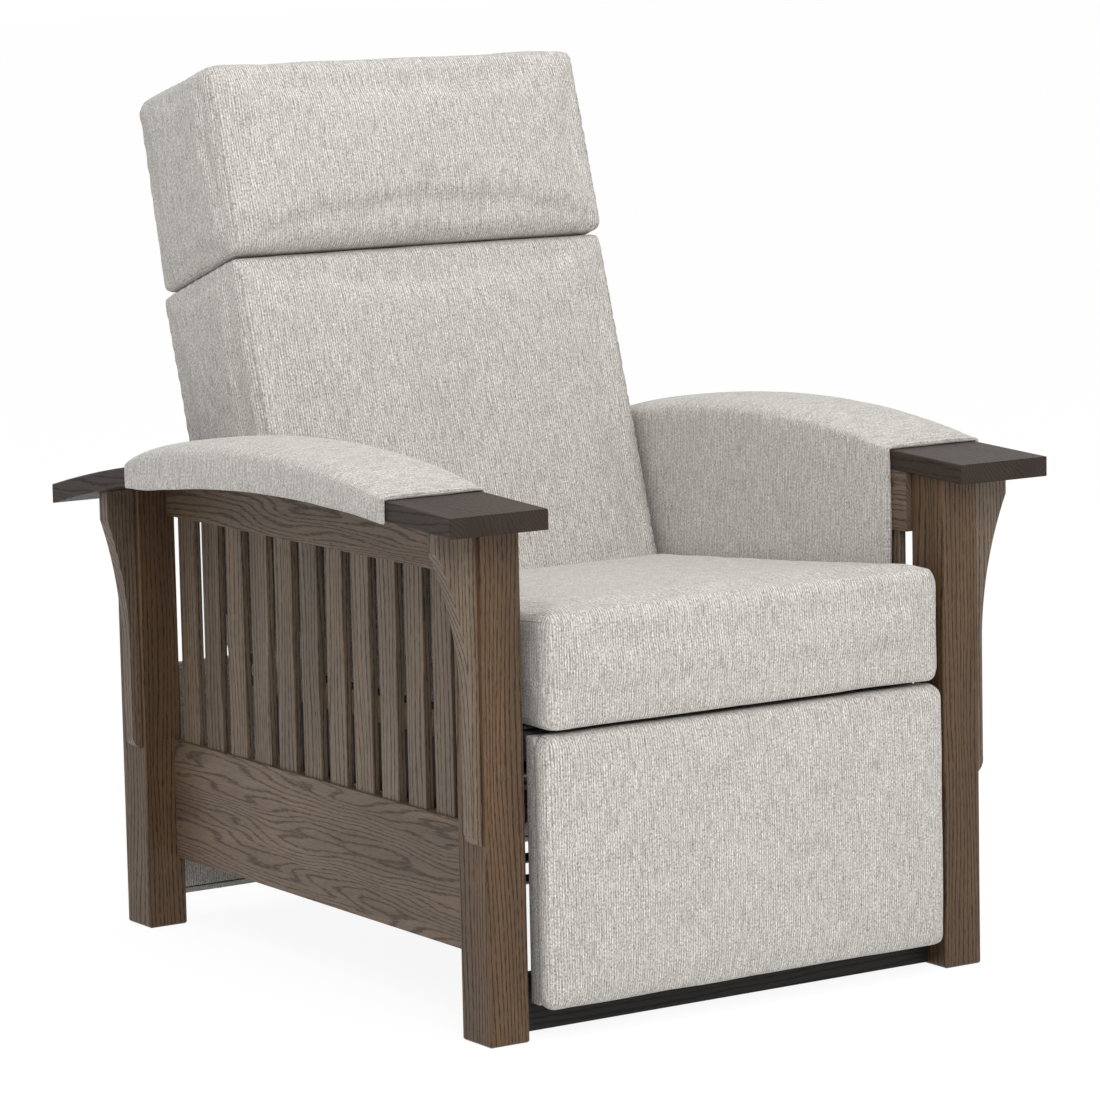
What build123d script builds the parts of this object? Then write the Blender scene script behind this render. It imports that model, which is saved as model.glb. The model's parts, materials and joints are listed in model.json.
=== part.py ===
from build123d import *
import math
import os

os.makedirs("parts", exist_ok=True)

# Mission reclining armchair, in millimetres. +Z is up, the chair faces -Y, +X is to the right
# when facing its front, and the origin is on the floor, under the middle of the arms' length.

# Overall driving sizes
chair_width = 838.0
arm_length = 951.0
leg_span = 863.5
arm_front_overhang = 49.0
arm_outer_overhang = 68.0

# Legs
leg_width = 53.0
leg_depth = 60.0
leg_edge_radius = 2.5
leg_foot_chamfer = 4.0

# Bow arms: a flat front end, then one bend over the rest of the length
arm_width = 129.5
arm_thickness = 23.5
arm_front_height = 615.0
arm_peak_height = 633.5
arm_peak_setback = 379.0
arm_bow_radius = 2426.0
arm_edge_radius = 2.2

# Side rails and slats
rail_thickness = 18.0
rail_inset = 42.0
lower_rail_bottom = 87.0
lower_rail_height = 152.0
upper_rail_bottom = 525.0
rail_edge_radius = 1.5
slat_count = 12
slat_width = 40.3
slat_thickness = 10.0
slat_edge_radius = 1.0

# Corbels on the outer faces of the legs
corbel_thickness = 20.5
corbel_setback = 8.0
corbel_low_reach = 12.0
corbel_tip_height = 231.0
corbel_tip_rise = 20.0
front_corbel_reach = 50.0
front_corbel_sweep_bottom = 390.0
front_corbel_sweep_top = 567.0
rear_corbel_reach = 38.0
rear_corbel_sweep_bottom = 362.0
rear_corbel_sweep_top = 524.0

# Stretcher, rear apron and its rail
stretcher_height = 66.0
stretcher_thickness = 20.0
stretcher_setback = 36.0
stretcher_floor_gap = 2.0
apron_thickness = 14.0
apron_bottom = 30.0
apron_height = 300.0
apron_inset = 10.0
apron_corner_radius = 5.0
apron_rail_height = 70.0
apron_rail_thickness = 20.0
apron_rail_raise = 12.0

# Fabric arm covers and inner arm panels
cover_setback = 88.0
cover_length = 622.0
cover_cloth = 3.0
cover_crown = 30.0
cover_front_drop = 2.0
cover_rear_drop = 11.0
panel_thickness = 9.0
panel_bottom = 408.0
panel_edge_radius = 3.0

# Clearances
seat_gap = 0.3
wood_gap = 0.1
side_clearance = 2.0
pin_clearance = 0.05
slot_clearance = 0.6
overrun = 40.0

# Seat frame, webbing and cushion
seat_frame_bottom = 318.0
seat_rail_height = 32.0
seat_rail_width = 45.0
seat_frame_setback = 32.0
seat_frame_back_clearance = 10.0
seat_frame_inset = 4.0
webbing_width = 60.0
webbing_thickness = 2.0
long_strap_count = 4
cross_strap_count = 3
decking_thickness = 2.0
cushion_reach = 24.0
cushion_front_height = 491.0
cushion_rear_height = 447.0
cushion_crown = 10.0
cushion_corner_radius = 14.0
cushion_draw = 2.0
cushion_back_gap = 4.0

# Back: both sections are set out along a leaning front face
back_side_clearance = 10.0
back_thickness = 192.0
back_lean = 16.6
back_setback_at_seat = 553.0
back_height_at_seat = 446.0
back_drop = 80.0
back_rise = 430.0
parting_tilt = 18.5
parting_gap = 0.6
head_setback = 714.0
head_height = 1079.0
head_thickness = 189.0
head_tilt = 10.5
cushion_depth_share = 0.64
back_bulge = 9.0
head_bulge = 16.0
back_corner_radius = 22.0
cover_wall = 4.0
stile_width = 40.0
stile_depth = 30.0
back_rail_width = 60.0
back_strap_count = 4
head_board_thickness = 15.0

# Steel: sheet, tracks, pivots
plate_thickness = 4.0
plate_gap = 2.0
track_depth = 10.0
track_height = 30.0
track_wall = 2.0
track_bottom = 196.0
track_setback = 120.0
track_length = 500.0
block_length = 40.0
block_clearance = 0.5
front_block_setback = 200.0
rear_block_setback = 560.0
tube_size = 25.0
tube_wall = 2.0
front_tube_setback = 300.0
pivot_setback = 640.0
pivot_height = 345.0
pivot_radius = 6.0
pivot_head_radius = 9.0
bracket_width = 50.0
bracket_rise = 182.0
bolt_radius = 3.0
bolt_head_radius = 6.0
bolt_head_height = 3.0
bolt_grip = 14.0

# Footrest panel
footrest_height = 320.0
footrest_parting = 3.3
footrest_side_clearance = 13.0
footrest_reach = 26.0
footrest_pad_thickness = 34.0
footrest_crown = 6.0
footrest_corner_radius = 12.0
board_thickness = 16.0
board_inset = 6.0

# Footrest scissor linkage: two pairs of links that cross at their middles
drive_setback = 112.0
drive_height = 291.0
drive_radius = 9.0
link_length = 187.0
link_width = 22.0
link_thickness = 4.0
stud_radius = 4.0
stud_head_radius = 6.5
stud_head_height = 1.4
rod_radius = 6.0
scissor_half_angle = 79.0
scissor_open_half_angle = 21.5
scissor_tilt = -32.5
scissor_open_tilt = 14.0
footrest_turn = 90.0
slot_steps = 12

# Worked out places
leg_outer = chair_width / 2 - arm_outer_overhang
leg_inner = leg_outer - leg_width
arm_outer = chair_width / 2
arm_inner = arm_outer - arm_width
rail_outer = leg_outer - rail_inset
rail_inner = rail_outer - rail_thickness
panel_inner = rail_inner - panel_thickness
arm_front = -arm_length / 2
arm_rear = arm_length / 2
front_y = arm_front + arm_front_overhang
rear_y = front_y + leg_span
bay_front = front_y + leg_depth
bay_rear = rear_y - leg_depth
cover_front = front_y + cover_setback
cover_rear = cover_front + cover_length
arm_flat_end = cover_front + cover_cloth
lower_rail_top = lower_rail_bottom + lower_rail_height
seat_half = panel_inner - side_clearance
back_width = 2 * (seat_half - back_side_clearance)
footrest_width = 2 * (leg_inner - footrest_side_clearance)
back_foot = back_setback_at_seat - back_drop * math.sin(math.radians(back_lean))
seat_frame_length = back_foot - seat_frame_back_clearance - seat_frame_setback
seat_frame_top = seat_frame_bottom + seat_rail_height
decking_bottom = seat_frame_top + 2 * webbing_thickness
cushion_bottom = decking_bottom + decking_thickness + seat_gap
track_inner = rail_inner - track_depth
plate_outer = track_inner - plate_gap / 2
plate_inner = plate_outer - plate_thickness
bracket_outer = plate_inner - plate_gap
outer_link = plate_inner - plate_gap - link_thickness
inner_link = outer_link - plate_gap - link_thickness
foot_plane = inner_link - plate_gap - link_thickness
sides = (("left", -1), ("right", 1))


def save(shape, node):
    """Write one sub-part to its file."""
    export_step(shape, "parts/" + node + ".step")


def block(x0, x1, y0, y1, z0, z1):
    """A box between two corners."""
    size = Box(x1 - x0, y1 - y0, z1 - z0)
    return Pos((x0 + x1) / 2, (y0 + y1) / 2, (z0 + z1) / 2) * size


def on_side(shape, sign):
    """Keep a shape on the right side, or mirror it to the left."""
    return shape if sign > 0 else shape.mirror(Plane.YZ)


def slab(face, x0, thickness):
    """A flat plate: a profile in Y and Z, extruded along +X from x0."""
    return extrude(Plane.YZ.offset(x0) * face, amount=thickness)


def rod(y, z, radius, x0, x1):
    """A round bar along X."""
    return slab(Pos(y, z) * Circle(radius), x0, x1 - x0)


def outline(*points):
    """A straight-sided profile."""
    return make_face(Polyline(*points, close=True))


def eased(shape, radius, axis):
    """Round the edges that run along one axis."""
    return fillet(shape.edges().filter_by(axis), radius)


def group(shapes):
    """Several separate solids under one name."""
    return Compound(children=[s for shape in shapes for s in shape.solids()])


def arm_top(y):
    """Height of the arm's upper face at y."""
    middle = arm_front + arm_peak_setback
    height = arm_peak_height - arm_bow_radius
    if y >= arm_flat_end:
        return height + math.sqrt(arm_bow_radius ** 2 - (y - middle) ** 2)
    flat_top = height + math.sqrt(arm_bow_radius ** 2 - (arm_flat_end - middle) ** 2)
    along = (y - arm_front) / (arm_flat_end - arm_front)
    return arm_front_height + (flat_top - arm_front_height) * along


def arm_under(y):
    """Height of the arm's lower face at y."""
    middle = arm_front + arm_peak_setback
    height = arm_peak_height - arm_bow_radius
    inner_radius = arm_bow_radius - arm_thickness
    if y >= arm_flat_end:
        return height + math.sqrt(inner_radius ** 2 - (y - middle) ** 2)
    flat_under = height + math.sqrt(inner_radius ** 2 - (arm_flat_end - middle) ** 2)
    along = (y - arm_front) / (arm_flat_end - arm_front)
    return arm_front_height - arm_thickness + (flat_under - arm_front_height + arm_thickness) * along


def arm(sign):
    """Bent arm: flat front end and one long bend, edges eased."""
    bend_middle = (arm_flat_end + arm_rear) / 2
    upper = ThreePointArc((arm_flat_end, arm_top(arm_flat_end)), (bend_middle, arm_top(bend_middle)),
                          (arm_rear, arm_top(arm_rear)))
    lower = ThreePointArc((arm_rear, arm_under(arm_rear)), (bend_middle, arm_under(bend_middle)),
                          (arm_flat_end, arm_under(arm_flat_end)))
    front = Polyline(lower @ 1, (arm_front, arm_under(arm_front)), (arm_front, arm_top(arm_front)), upper @ 0)
    profile = make_face([upper, Line(upper @ 1, lower @ 0), lower, front])
    plank = slab(profile, arm_inner, arm_width)
    side_edges = [e for f in (plank.faces().sort_by(Axis.X)[0], plank.faces().sort_by(Axis.X)[-1])
                  for e in f.edges()]
    return on_side(fillet(side_edges, arm_edge_radius), sign)


def under_arm(shape, gap):
    """Trim a shape to fit below the arm, less a gap."""
    middle = (arm_flat_end + arm_rear) / 2
    far = arm_rear + overrun
    curve = ThreePointArc((far, arm_under(far) - gap), (middle, arm_under(middle) - gap),
                          (arm_flat_end, arm_under(arm_flat_end) - gap))
    roof = arm_peak_height + overrun
    frame = Polyline(curve @ 1, (arm_front, arm_under(arm_front) - gap), (arm_front, roof), (far, roof), curve @ 0)
    return shape - slab(make_face([curve, frame]), -chair_width, 2 * chair_width)


def leg(sign, y0):
    """Square leg with eased edges, cut to the arm's underside."""
    post = block(leg_inner, leg_outer, y0, y0 + leg_depth, 0, arm_peak_height)
    post = eased(post, leg_edge_radius, Axis.Z)
    post = chamfer(post.faces().sort_by(Axis.Z)[0].edges(), leg_foot_chamfer / 2)
    return on_side(under_arm(post, wood_gap), sign)


def track_bolts():
    """Places of the bolts along the track: clear of the sliding blocks."""
    first = front_block_setback + block_length
    last = rear_block_setback - 2 * block_length
    return [front_y + first, front_y + (first + last) / 2, front_y + last]


def lower_rail(sign):
    """Deep bottom rail between the legs, drilled for the track bolts."""
    rail = block(rail_inner, rail_outer, bay_front, bay_rear, lower_rail_bottom, lower_rail_top)
    rail = eased(rail, rail_edge_radius, Axis.Y)
    for y in track_bolts():
        rail -= rod(y, track_middle(), bolt_radius + pin_clearance, rail_inner, rail_inner + bolt_grip)
    return on_side(rail, sign)


def upper_rail(sign):
    """Rail under the arm: straight below, following the bow above."""
    rail = block(rail_inner, rail_outer, bay_front, bay_rear, upper_rail_bottom, arm_peak_height)
    return on_side(under_arm(rail, wood_gap), sign)


def slats(sign):
    """Evenly spaced flat slats between the two rails."""
    gap = (bay_rear - bay_front - slat_count * slat_width) / (slat_count + 1)
    middle = (rail_inner + rail_outer) / 2
    made = []
    for number in range(slat_count):
        y0 = bay_front + gap + number * (slat_width + gap)
        slat = block(middle - slat_thickness / 2, middle + slat_thickness / 2, y0, y0 + slat_width,
                     lower_rail_top, upper_rail_bottom)
        made.append(on_side(eased(slat, slat_edge_radius, Axis.Z), sign))
    return group(made)


def corbel(sign, y0, reach, sweep_bottom, sweep_top):
    """Shaped bracket: rounded tip, long taper, concave sweep, short upright edge."""
    low = leg_outer + corbel_low_reach
    tip_top = corbel_tip_height + corbel_tip_rise
    tip_side = leg_outer + corbel_low_reach * math.sin(math.radians(45))
    tip_rise = corbel_tip_height + corbel_tip_rise * (1 - math.cos(math.radians(45)))
    tip = ThreePointArc((leg_outer, corbel_tip_height), (tip_side, tip_rise), (low, tip_top))
    taper = Line((low, tip_top), (low, sweep_bottom))
    sweep = TangentArc((low, sweep_bottom), (leg_outer + reach, sweep_top), tangent=(0, 1))
    top = Polyline(sweep @ 1, (leg_outer + reach, arm_peak_height), (leg_outer, arm_peak_height), tip @ 0)
    face = Plane.XZ.offset(-(y0 + corbel_setback + corbel_thickness)) * make_face([tip, taper, sweep, top])
    return on_side(under_arm(extrude(face, amount=corbel_thickness), wood_gap), sign)


def arm_cover_section(y, crown, drop):
    """Cover across the arm: crowned top, thin laps down both edges."""
    outer = arm_outer + seat_gap
    inner = arm_inner - seat_gap
    deck = arm_top(y) + seat_gap
    lap = arm_under(y) - drop
    inner_lap = arm_under(y) + seat_gap
    shoulder = deck + cover_cloth + crown * shoulder_share
    crest = deck + cover_cloth + crown
    top = ThreePointArc((inner - cover_cloth, shoulder), ((inner + outer) / 2, crest), (outer + cover_cloth, shoulder))
    rest = Polyline(top @ 1, (outer + cover_cloth, lap), (outer, lap), (outer, deck), (inner, deck),
                    (inner, inner_lap), (inner - cover_cloth, inner_lap), top @ 0)
    return Plane.XZ.offset(-y) * make_face([top, rest])


# Arm cover crown along its length: shares of the length, and shares of the full crown
cover_place_shares = (0.0, 0.05, 0.14, 0.28, 0.46, 0.66, 0.82, 0.92, 0.975, 1.0)
cover_crown_shares = (0.04, 0.2, 0.52, 0.82, 0.97, 1.0, 0.93, 0.76, 0.52, 0.3)
shoulder_share = 0.4


def arm_cover(sign):
    """Padded cover over the arm, thin at its front hem and rounded down at the rear."""
    sections = []
    for place, crown in zip(cover_place_shares, cover_crown_shares):
        y = cover_front + cover_length * place
        drop = cover_front_drop + (cover_rear_drop - cover_front_drop) * place
        sections.append(arm_cover_section(y, cover_crown * crown, drop))
    return on_side(loft(sections), sign)


def arm_panel(sign):
    """Fabric panel that hangs from the arm down inside the slats."""
    panel = block(panel_inner, rail_inner, cover_front, cover_rear, panel_bottom, arm_peak_height)
    panel = under_arm(panel, seat_gap)
    edges = panel.faces().sort_by(Axis.X)[0].edges()
    return on_side(fillet(edges, panel_edge_radius), sign)


def stretcher():
    """Dark board between the front legs, just above the floor."""
    y0 = front_y + stretcher_setback
    top = stretcher_floor_gap + stretcher_height
    board = block(-leg_inner, leg_inner, y0, y0 + stretcher_thickness, stretcher_floor_gap, top)
    return eased(board, rail_edge_radius, Axis.X)


def apron():
    """Fabric covered rear panel between the rear legs."""
    y1 = rear_y - apron_inset
    half = leg_inner - seat_gap
    panel = block(-half, half, y1 - apron_thickness, y1, apron_bottom, apron_bottom + apron_height)
    return eased(panel, apron_corner_radius, Axis.X)


def apron_rail():
    """Wooden rail between the rear legs, in front of the apron."""
    y1 = rear_y - apron_inset - apron_thickness
    z0 = apron_bottom + apron_rail_raise
    return block(-leg_inner, leg_inner, y1 - apron_rail_thickness, y1, z0, z0 + apron_rail_height)


def track_middle():
    """Height of the middle of the base track."""
    return track_bottom + track_height / 2


def base_track(sign):
    """Steel channel on the inner face of the lower rail, open towards the seat."""
    y0 = front_y + track_setback
    channel = block(track_inner, rail_inner, y0, y0 + track_length, track_bottom, track_bottom + track_height)
    hollow = block(track_inner - track_wall, rail_inner - track_wall, y0 - track_wall,
                   y0 + track_length + track_wall, track_bottom + track_wall,
                   track_bottom + track_height - track_wall)
    channel -= hollow
    for y in track_bolts():
        channel -= rod(y, track_middle(), bolt_radius + pin_clearance, rail_inner - 2 * track_wall, rail_inner)
    return on_side(channel, sign)


def base_bolts():
    """Bolts from the tracks into the lower rails."""
    made = []
    for side, sign in sides:
        for y in track_bolts():
            web = rail_inner - track_wall
            head = rod(y, track_middle(), bolt_head_radius, web - bolt_head_height, web)
            shank = rod(y, track_middle(), bolt_radius, web, rail_inner + bolt_grip - seat_gap)
            made.append(on_side(head + shank, sign))
    return group(made)


def base_tubes():
    """Square cross tubes that join the two tracks."""
    rear_setback = track_setback + track_length - tube_size
    half = rail_inner - track_wall
    made = []
    for setback in (front_tube_setback, rear_setback):
        y0 = front_y + setback
        z0 = track_middle() - tube_size / 2
        tube = block(-half, half, y0, y0 + tube_size, z0, z0 + tube_size)
        bore = block(-half, half, y0 + tube_wall, y0 + tube_size - tube_wall,
                     z0 + tube_wall, z0 + tube_size - tube_wall)
        made.append(tube - bore)
    return group(made)


def seat_block(y_setback):
    """Profile of one sliding block, seen from the side."""
    y = front_y + y_setback
    half = track_height / 2 - track_wall - block_clearance
    return outline((y - block_length / 2, track_middle() - half), (y + block_length / 2, track_middle() - half),
                   (y + block_length / 2, track_middle() + half), (y - block_length / 2, track_middle() + half))


def glide_blocks():
    """Nylon blocks on the seat plates that slide in the tracks."""
    made = []
    depth = rail_inner - track_wall - block_clearance - plate_outer
    for side, sign in sides:
        for setback in (front_block_setback, rear_block_setback):
            made.append(on_side(slab(seat_block(setback), plate_outer, depth), sign))
    return group(made)


def scissor(share):
    """Pivots of the scissor linkage, from 0, closed, to 1, open, as (y, z) points."""
    half = math.radians(scissor_half_angle + (scissor_open_half_angle - scissor_half_angle) * share)
    tilt = math.radians(scissor_tilt + (scissor_open_tilt - scissor_tilt) * share)
    along = (-math.cos(tilt), math.sin(tilt))
    across = (math.sin(tilt), math.cos(tilt))
    reach = link_length * math.cos(half)
    fall = link_length * math.sin(half)
    drive = (front_y + drive_setback, drive_height)

    def place(forward, down):
        return (drive[0] + forward * along[0] - down * across[0], drive[1] + forward * along[1] - down * across[1])

    return {"drive": drive, "guide": place(0, fall), "cross": place(reach / 2, fall / 2),
            "low": place(reach, fall), "high": place(reach, 0), "second": place(1.5 * reach, fall / 2),
            "foot": place(2 * reach, 0)}


pivots = scissor(0)


def capsule(start, end, radius):
    """Bar profile with round ends."""
    ends = Pos(*start) * Circle(radius) + Pos(*end) * Circle(radius)
    return make_hull(ends.edges())


def stud(place, x0, x1, head_outward):
    """Rivet stud between two planes, with a flat head at its far end."""
    shank = rod(place[0], place[1], stud_radius, x0, x1)
    if head_outward:
        return shank + rod(place[0], place[1], stud_head_radius, x1 - stud_head_height, x1)
    return shank + rod(place[0], place[1], stud_head_radius, x0, x0 + stud_head_height)


def link_bar(start, end, x0, holes, hole_radius):
    """Flat link with round ends and the given holes."""
    bar = slab(capsule(start, end, link_width / 2), x0, link_thickness)
    for place in holes:
        bar -= rod(place[0], place[1], hole_radius, x0, x0 + link_thickness)
    return bar


def rear_link(sign):
    """Driven link: fixed on the drive tube, studs for the cross link and the front link."""
    bar = link_bar(pivots["drive"], pivots["low"], outer_link, [pivots["drive"]], drive_radius + pin_clearance)
    far = inner_link - stud_head_height - seat_gap
    for name in ("cross", "low"):
        bar += stud(pivots[name], far, outer_link, False)
    return on_side(bar, sign)


def cross_link(sign):
    """Link that slides in the seat plate's slot and crosses the rear link."""
    bar = link_bar(pivots["guide"], pivots["high"], inner_link, [pivots["cross"]], stud_radius + pin_clearance)
    bar += stud(pivots["high"], inner_link + link_thickness, plate_inner - seat_gap, True)
    guide = pivots["guide"]
    bar += rod(guide[0], guide[1], rod_radius, inner_link + link_thickness, plate_outer)
    return on_side(bar, sign)


def front_link(sign):
    """Second long link, from the rear link's end to the footrest bracket."""
    bar = link_bar(pivots["low"], pivots["foot"], inner_link, [pivots["low"]], stud_radius + pin_clearance)
    bar += stud(pivots["second"], inner_link + link_thickness, plate_inner - seat_gap, True)
    bar += stud(pivots["foot"], foot_plane - stud_head_height - seat_gap, inner_link, False)
    return on_side(bar, sign)


def stay_link(sign):
    """Short link that closes the scissor between the cross link and the front link."""
    bar = link_bar(pivots["high"], pivots["second"], outer_link, [pivots["high"], pivots["second"]],
                   stud_radius + pin_clearance)
    return on_side(bar, sign)


def cross_rod(place, radius, half_length):
    """Round rod that joins the left and right links."""
    return rod(place[0], place[1], radius, -half_length, half_length)


def seat_plate(sign):
    """Steel side plate: carries the seat frame, the slides, the linkage and the back pivot."""
    top = seat_frame_bottom
    drive_y = front_y + drive_setback
    rear = front_y + pivot_setback
    margin = link_width
    low = min(scissor(step / slot_steps)["guide"][1] for step in range(slot_steps + 1)) - margin
    reach = max(scissor(step / slot_steps)["guide"][0] for step in range(slot_steps + 1)) + margin
    waist = track_bottom + track_height + margin / 2
    front_block = front_y + front_block_setback + block_length / 2 + block_clearance
    rear_block = front_y + rear_block_setback
    half = block_length / 2 + block_clearance
    front = drive_y - 1.5 * margin
    shape = outline((front, top), (front, low + 1.5 * margin), (front + margin, low),
                    (reach, low), (front_block, track_bottom), (front_block, waist), (rear_block - half, waist),
                    (rear_block - half, track_bottom), (rear_block + half, track_bottom),
                    (rear_block + half, waist), (rear + margin, pivot_height), (rear - margin, pivot_height),
                    (rear - 2 * margin, top))
    shape += Pos(rear, pivot_height) * Circle(margin)
    plate = slab(shape, plate_inner, plate_thickness)
    flange_front = drive_y + 1.5 * margin
    flange_rear = front_y + seat_frame_setback + seat_frame_length
    flange_inner = plate_inner - seat_rail_width + link_width / 2
    plate += block(flange_inner, plate_inner, flange_front, flange_rear, top - plate_thickness, top)
    for y in seat_bolt_places():
        plate -= Pos(seat_bolt_x(), y, top) * Cylinder(bolt_radius + pin_clearance, 2 * plate_thickness)
    plate -= rod(drive_y, drive_height, drive_radius + pin_clearance, plate_inner, plate_outer)
    plate -= rod(rear, pivot_height, pivot_radius + pin_clearance, plate_inner, plate_outer)
    return on_side(plate - guide_slot(), sign)


def guide_slot():
    """Curved slot in the seat plate, along the path of the cross link's end."""
    path = [scissor(step / slot_steps)["guide"] for step in range(slot_steps + 1)]
    radius = rod_radius + slot_clearance
    cut = slab(capsule(path[0], path[1], radius), plate_inner, plate_thickness)
    for start, end in zip(path[1:-1], path[2:]):
        cut += slab(capsule(start, end, radius), plate_inner, plate_thickness)
    return cut


def seat_bolt_places():
    """Places of the bolts that hold the seat frame on the plates."""
    first = front_y + front_block_setback
    last = front_y + seat_frame_setback + seat_frame_length - seat_rail_width
    return [first, (first + last) / 2, last]


def seat_bolt_x():
    """The bolts stand under the middle of the seat frame's side rails."""
    return plate_outer - seat_frame_inset - seat_rail_width / 2


def seat_bolts():
    """Bolts through the plate flanges into the seat frame."""
    made = []
    for side, sign in sides:
        for y in seat_bolt_places():
            under = seat_frame_bottom - plate_thickness
            head = Pos(seat_bolt_x(), y, under - bolt_head_height / 2) * Cylinder(bolt_head_radius, bolt_head_height)
            length = plate_thickness + bolt_grip - seat_gap
            shank = Pos(seat_bolt_x(), y, under + length / 2) * Cylinder(bolt_radius, length)
            made.append(on_side(head + shank, sign))
    return group(made)


def seat_side_rail(sign):
    """Side rail of the seat frame, drilled for its bolts."""
    outer = plate_outer - seat_frame_inset
    y0 = front_y + seat_frame_setback + seat_rail_width
    y1 = front_y + seat_frame_setback + seat_frame_length
    rail = block(outer - seat_rail_width, outer, y0, y1 - seat_rail_width, seat_frame_bottom, seat_frame_top)
    for y in seat_bolt_places():
        hole = Cylinder(bolt_radius + pin_clearance, 2 * bolt_grip)
        rail -= Pos(seat_bolt_x(), y, seat_frame_bottom) * hole
    return on_side(rail, sign)


def seat_cross_rail(y0):
    """Front or rear rail of the seat frame."""
    outer = plate_outer - seat_frame_inset
    rail = block(-outer, outer, y0, y0 + seat_rail_width, seat_frame_bottom, seat_frame_top)
    for side, sign in sides:
        for y in seat_bolt_places():
            hole = Cylinder(bolt_radius + pin_clearance, 2 * bolt_grip)
            rail -= Pos(sign * seat_bolt_x(), y, seat_frame_bottom) * hole
    return rail


def seat_webbing():
    """Straps over the seat frame: long ones below, cross ones on top of them."""
    outer = plate_outer - seat_frame_inset
    y0 = front_y + seat_frame_setback
    made = []
    for number in range(long_strap_count):
        x = -outer + 2 * outer * (number + 1) / (long_strap_count + 1)
        made.append(block(x - webbing_width / 2, x + webbing_width / 2, y0, y0 + seat_frame_length,
                          seat_frame_top, seat_frame_top + webbing_thickness))
    for number in range(cross_strap_count):
        y = y0 + seat_frame_length * (number + 1) / (cross_strap_count + 1)
        made.append(block(-outer, outer, y - webbing_width / 2, y + webbing_width / 2,
                          seat_frame_top + webbing_thickness, decking_bottom))
    return group(made)


def seat_decking():
    """Felt sheet between the webbing and the cushion."""
    outer = plate_outer - seat_frame_inset
    y0 = front_y + seat_frame_setback
    return block(-outer, outer, y0, y0 + seat_frame_length, decking_bottom, decking_bottom + decking_thickness)


def crowned_section(plane, half, low, high, radius, crown):
    """Cushion cross-section: flat base, sides drawn in a little, round shoulders, crowned top."""
    draw = cushion_draw
    base = Line((-half + draw, low), (half - draw, low))
    turn = radius * (1 - math.cos(math.radians(45)))
    shoulder = high - radius
    right = ThreePointArc(base @ 1, (half - draw / 4, (low + shoulder) / 2), (half, shoulder))
    right_turn = ThreePointArc((half, shoulder), (half - turn, high - turn), (half - radius, high))
    top = ThreePointArc((half - radius, high), (0, high + crown), (-half + radius, high))
    left_turn = ThreePointArc((-half + radius, high), (-half + turn, high - turn), (-half, shoulder))
    left = ThreePointArc((-half, shoulder), (-half + draw / 4, (low + shoulder) / 2), base @ 0)
    return plane * make_face([base, right, right_turn, top, left_turn, left])


def loft_rounded(sections, end_stations):
    """Loft the middle and the rounded ends one by one, and join them to one solid."""
    return (loft(sections[:end_stations]) + loft(sections[end_stations - 1:-end_stations + 1])
            + loft(sections[-end_stations:]))


# Seat cushion front rounding: shares of the corner radius as (forward, narrower, higher, lower)
nose_shares = ((1.0, 1.0, 1.0, 1.1), (0.8, 0.45, 0.45, 0.5), (0.35, 0.12, 0.12, 0.15), (-0.6, 0.0, 0.0, 0.0))
top_place_shares = (0.2, 0.5, 0.75, 1.0)


def seat_cushion():
    """Seat cushion: full rounded front, crowned top that falls towards the back."""
    nose = cushion_corner_radius
    full = cushion_reach - nose
    sections = []
    for forward, narrow, raised, lowered in nose_shares:
        y = front_y - full - nose * forward
        sections.append(crowned_section(Plane.XZ.offset(-y), seat_half - nose * narrow,
                                        cushion_bottom + nose * raised, cushion_front_height - nose * lowered,
                                        nose, cushion_crown))
    rear = front_y + back_setback_at_seat + overrun
    for share in top_place_shares:
        y = front_y + (rear - front_y) * share
        high = cushion_front_height + (cushion_rear_height - cushion_front_height) * share ** 2
        sections.append(crowned_section(Plane.XZ.offset(-y), seat_half, cushion_bottom, high, nose, cushion_crown))
    whole = loft(sections[:len(nose_shares)]) + loft(sections[len(nose_shares) - 1:])
    low = back_point(-back_height_at_seat, back_thickness)
    front = back_point(-back_height_at_seat, 0)
    facing = (0, (front[0] - low[0]) / back_thickness, (front[1] - low[1]) / back_thickness)
    plane = Plane(origin=(0, low[0], low[1]), x_dir=(1, 0, 0), z_dir=Vector(1, 0, 0).cross(Vector(*facing)))
    room = crowned_section(plane, seat_half + cushion_back_gap, 0, back_thickness + cushion_back_gap,
                           back_corner_radius, back_bulge)
    return whole - extrude(room, amount=-chair_width)


def back_point(along, depth):
    """A point of the lower back as (y, z): along its face, and in depth behind its face."""
    lean = math.radians(back_lean)
    y = front_y + back_setback_at_seat + along * math.sin(lean) + depth * math.cos(lean)
    z = back_height_at_seat + along * math.cos(lean) - depth * math.sin(lean)
    return (y, z)


def behind_face(point, tilt, thickness):
    """The rear corner behind a front corner, along a line that falls by the given tilt."""
    angle = math.radians(tilt)
    return (point[0] + thickness * math.cos(angle), point[1] - thickness * math.sin(angle))


def between(a, b, share):
    """The point at a share of the way from a to b."""
    return (a[0] + (b[0] - a[0]) * share, a[1] + (b[1] - a[1]) * share)


# The four side corners of each back section: front bottom, front top, rear top, rear bottom
back_low_front = back_point(-back_drop, 0)
back_high_front = back_point(back_rise, 0)
back_high_rear = behind_face(back_high_front, parting_tilt, back_thickness)
back_low_rear = behind_face(back_low_front, back_lean, back_thickness)
head_low_front = (back_high_front[0], back_high_front[1] + parting_gap)
head_high_front = (front_y + head_setback, head_height)
head_high_rear = behind_face(head_high_front, head_tilt, head_thickness)
head_low_rear = behind_face(head_low_front, parting_tilt, back_thickness)
back_corners = (back_low_front, back_high_front, back_high_rear, back_low_rear)
head_corners = (head_low_front, head_high_front, head_high_rear, head_low_rear)


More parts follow.
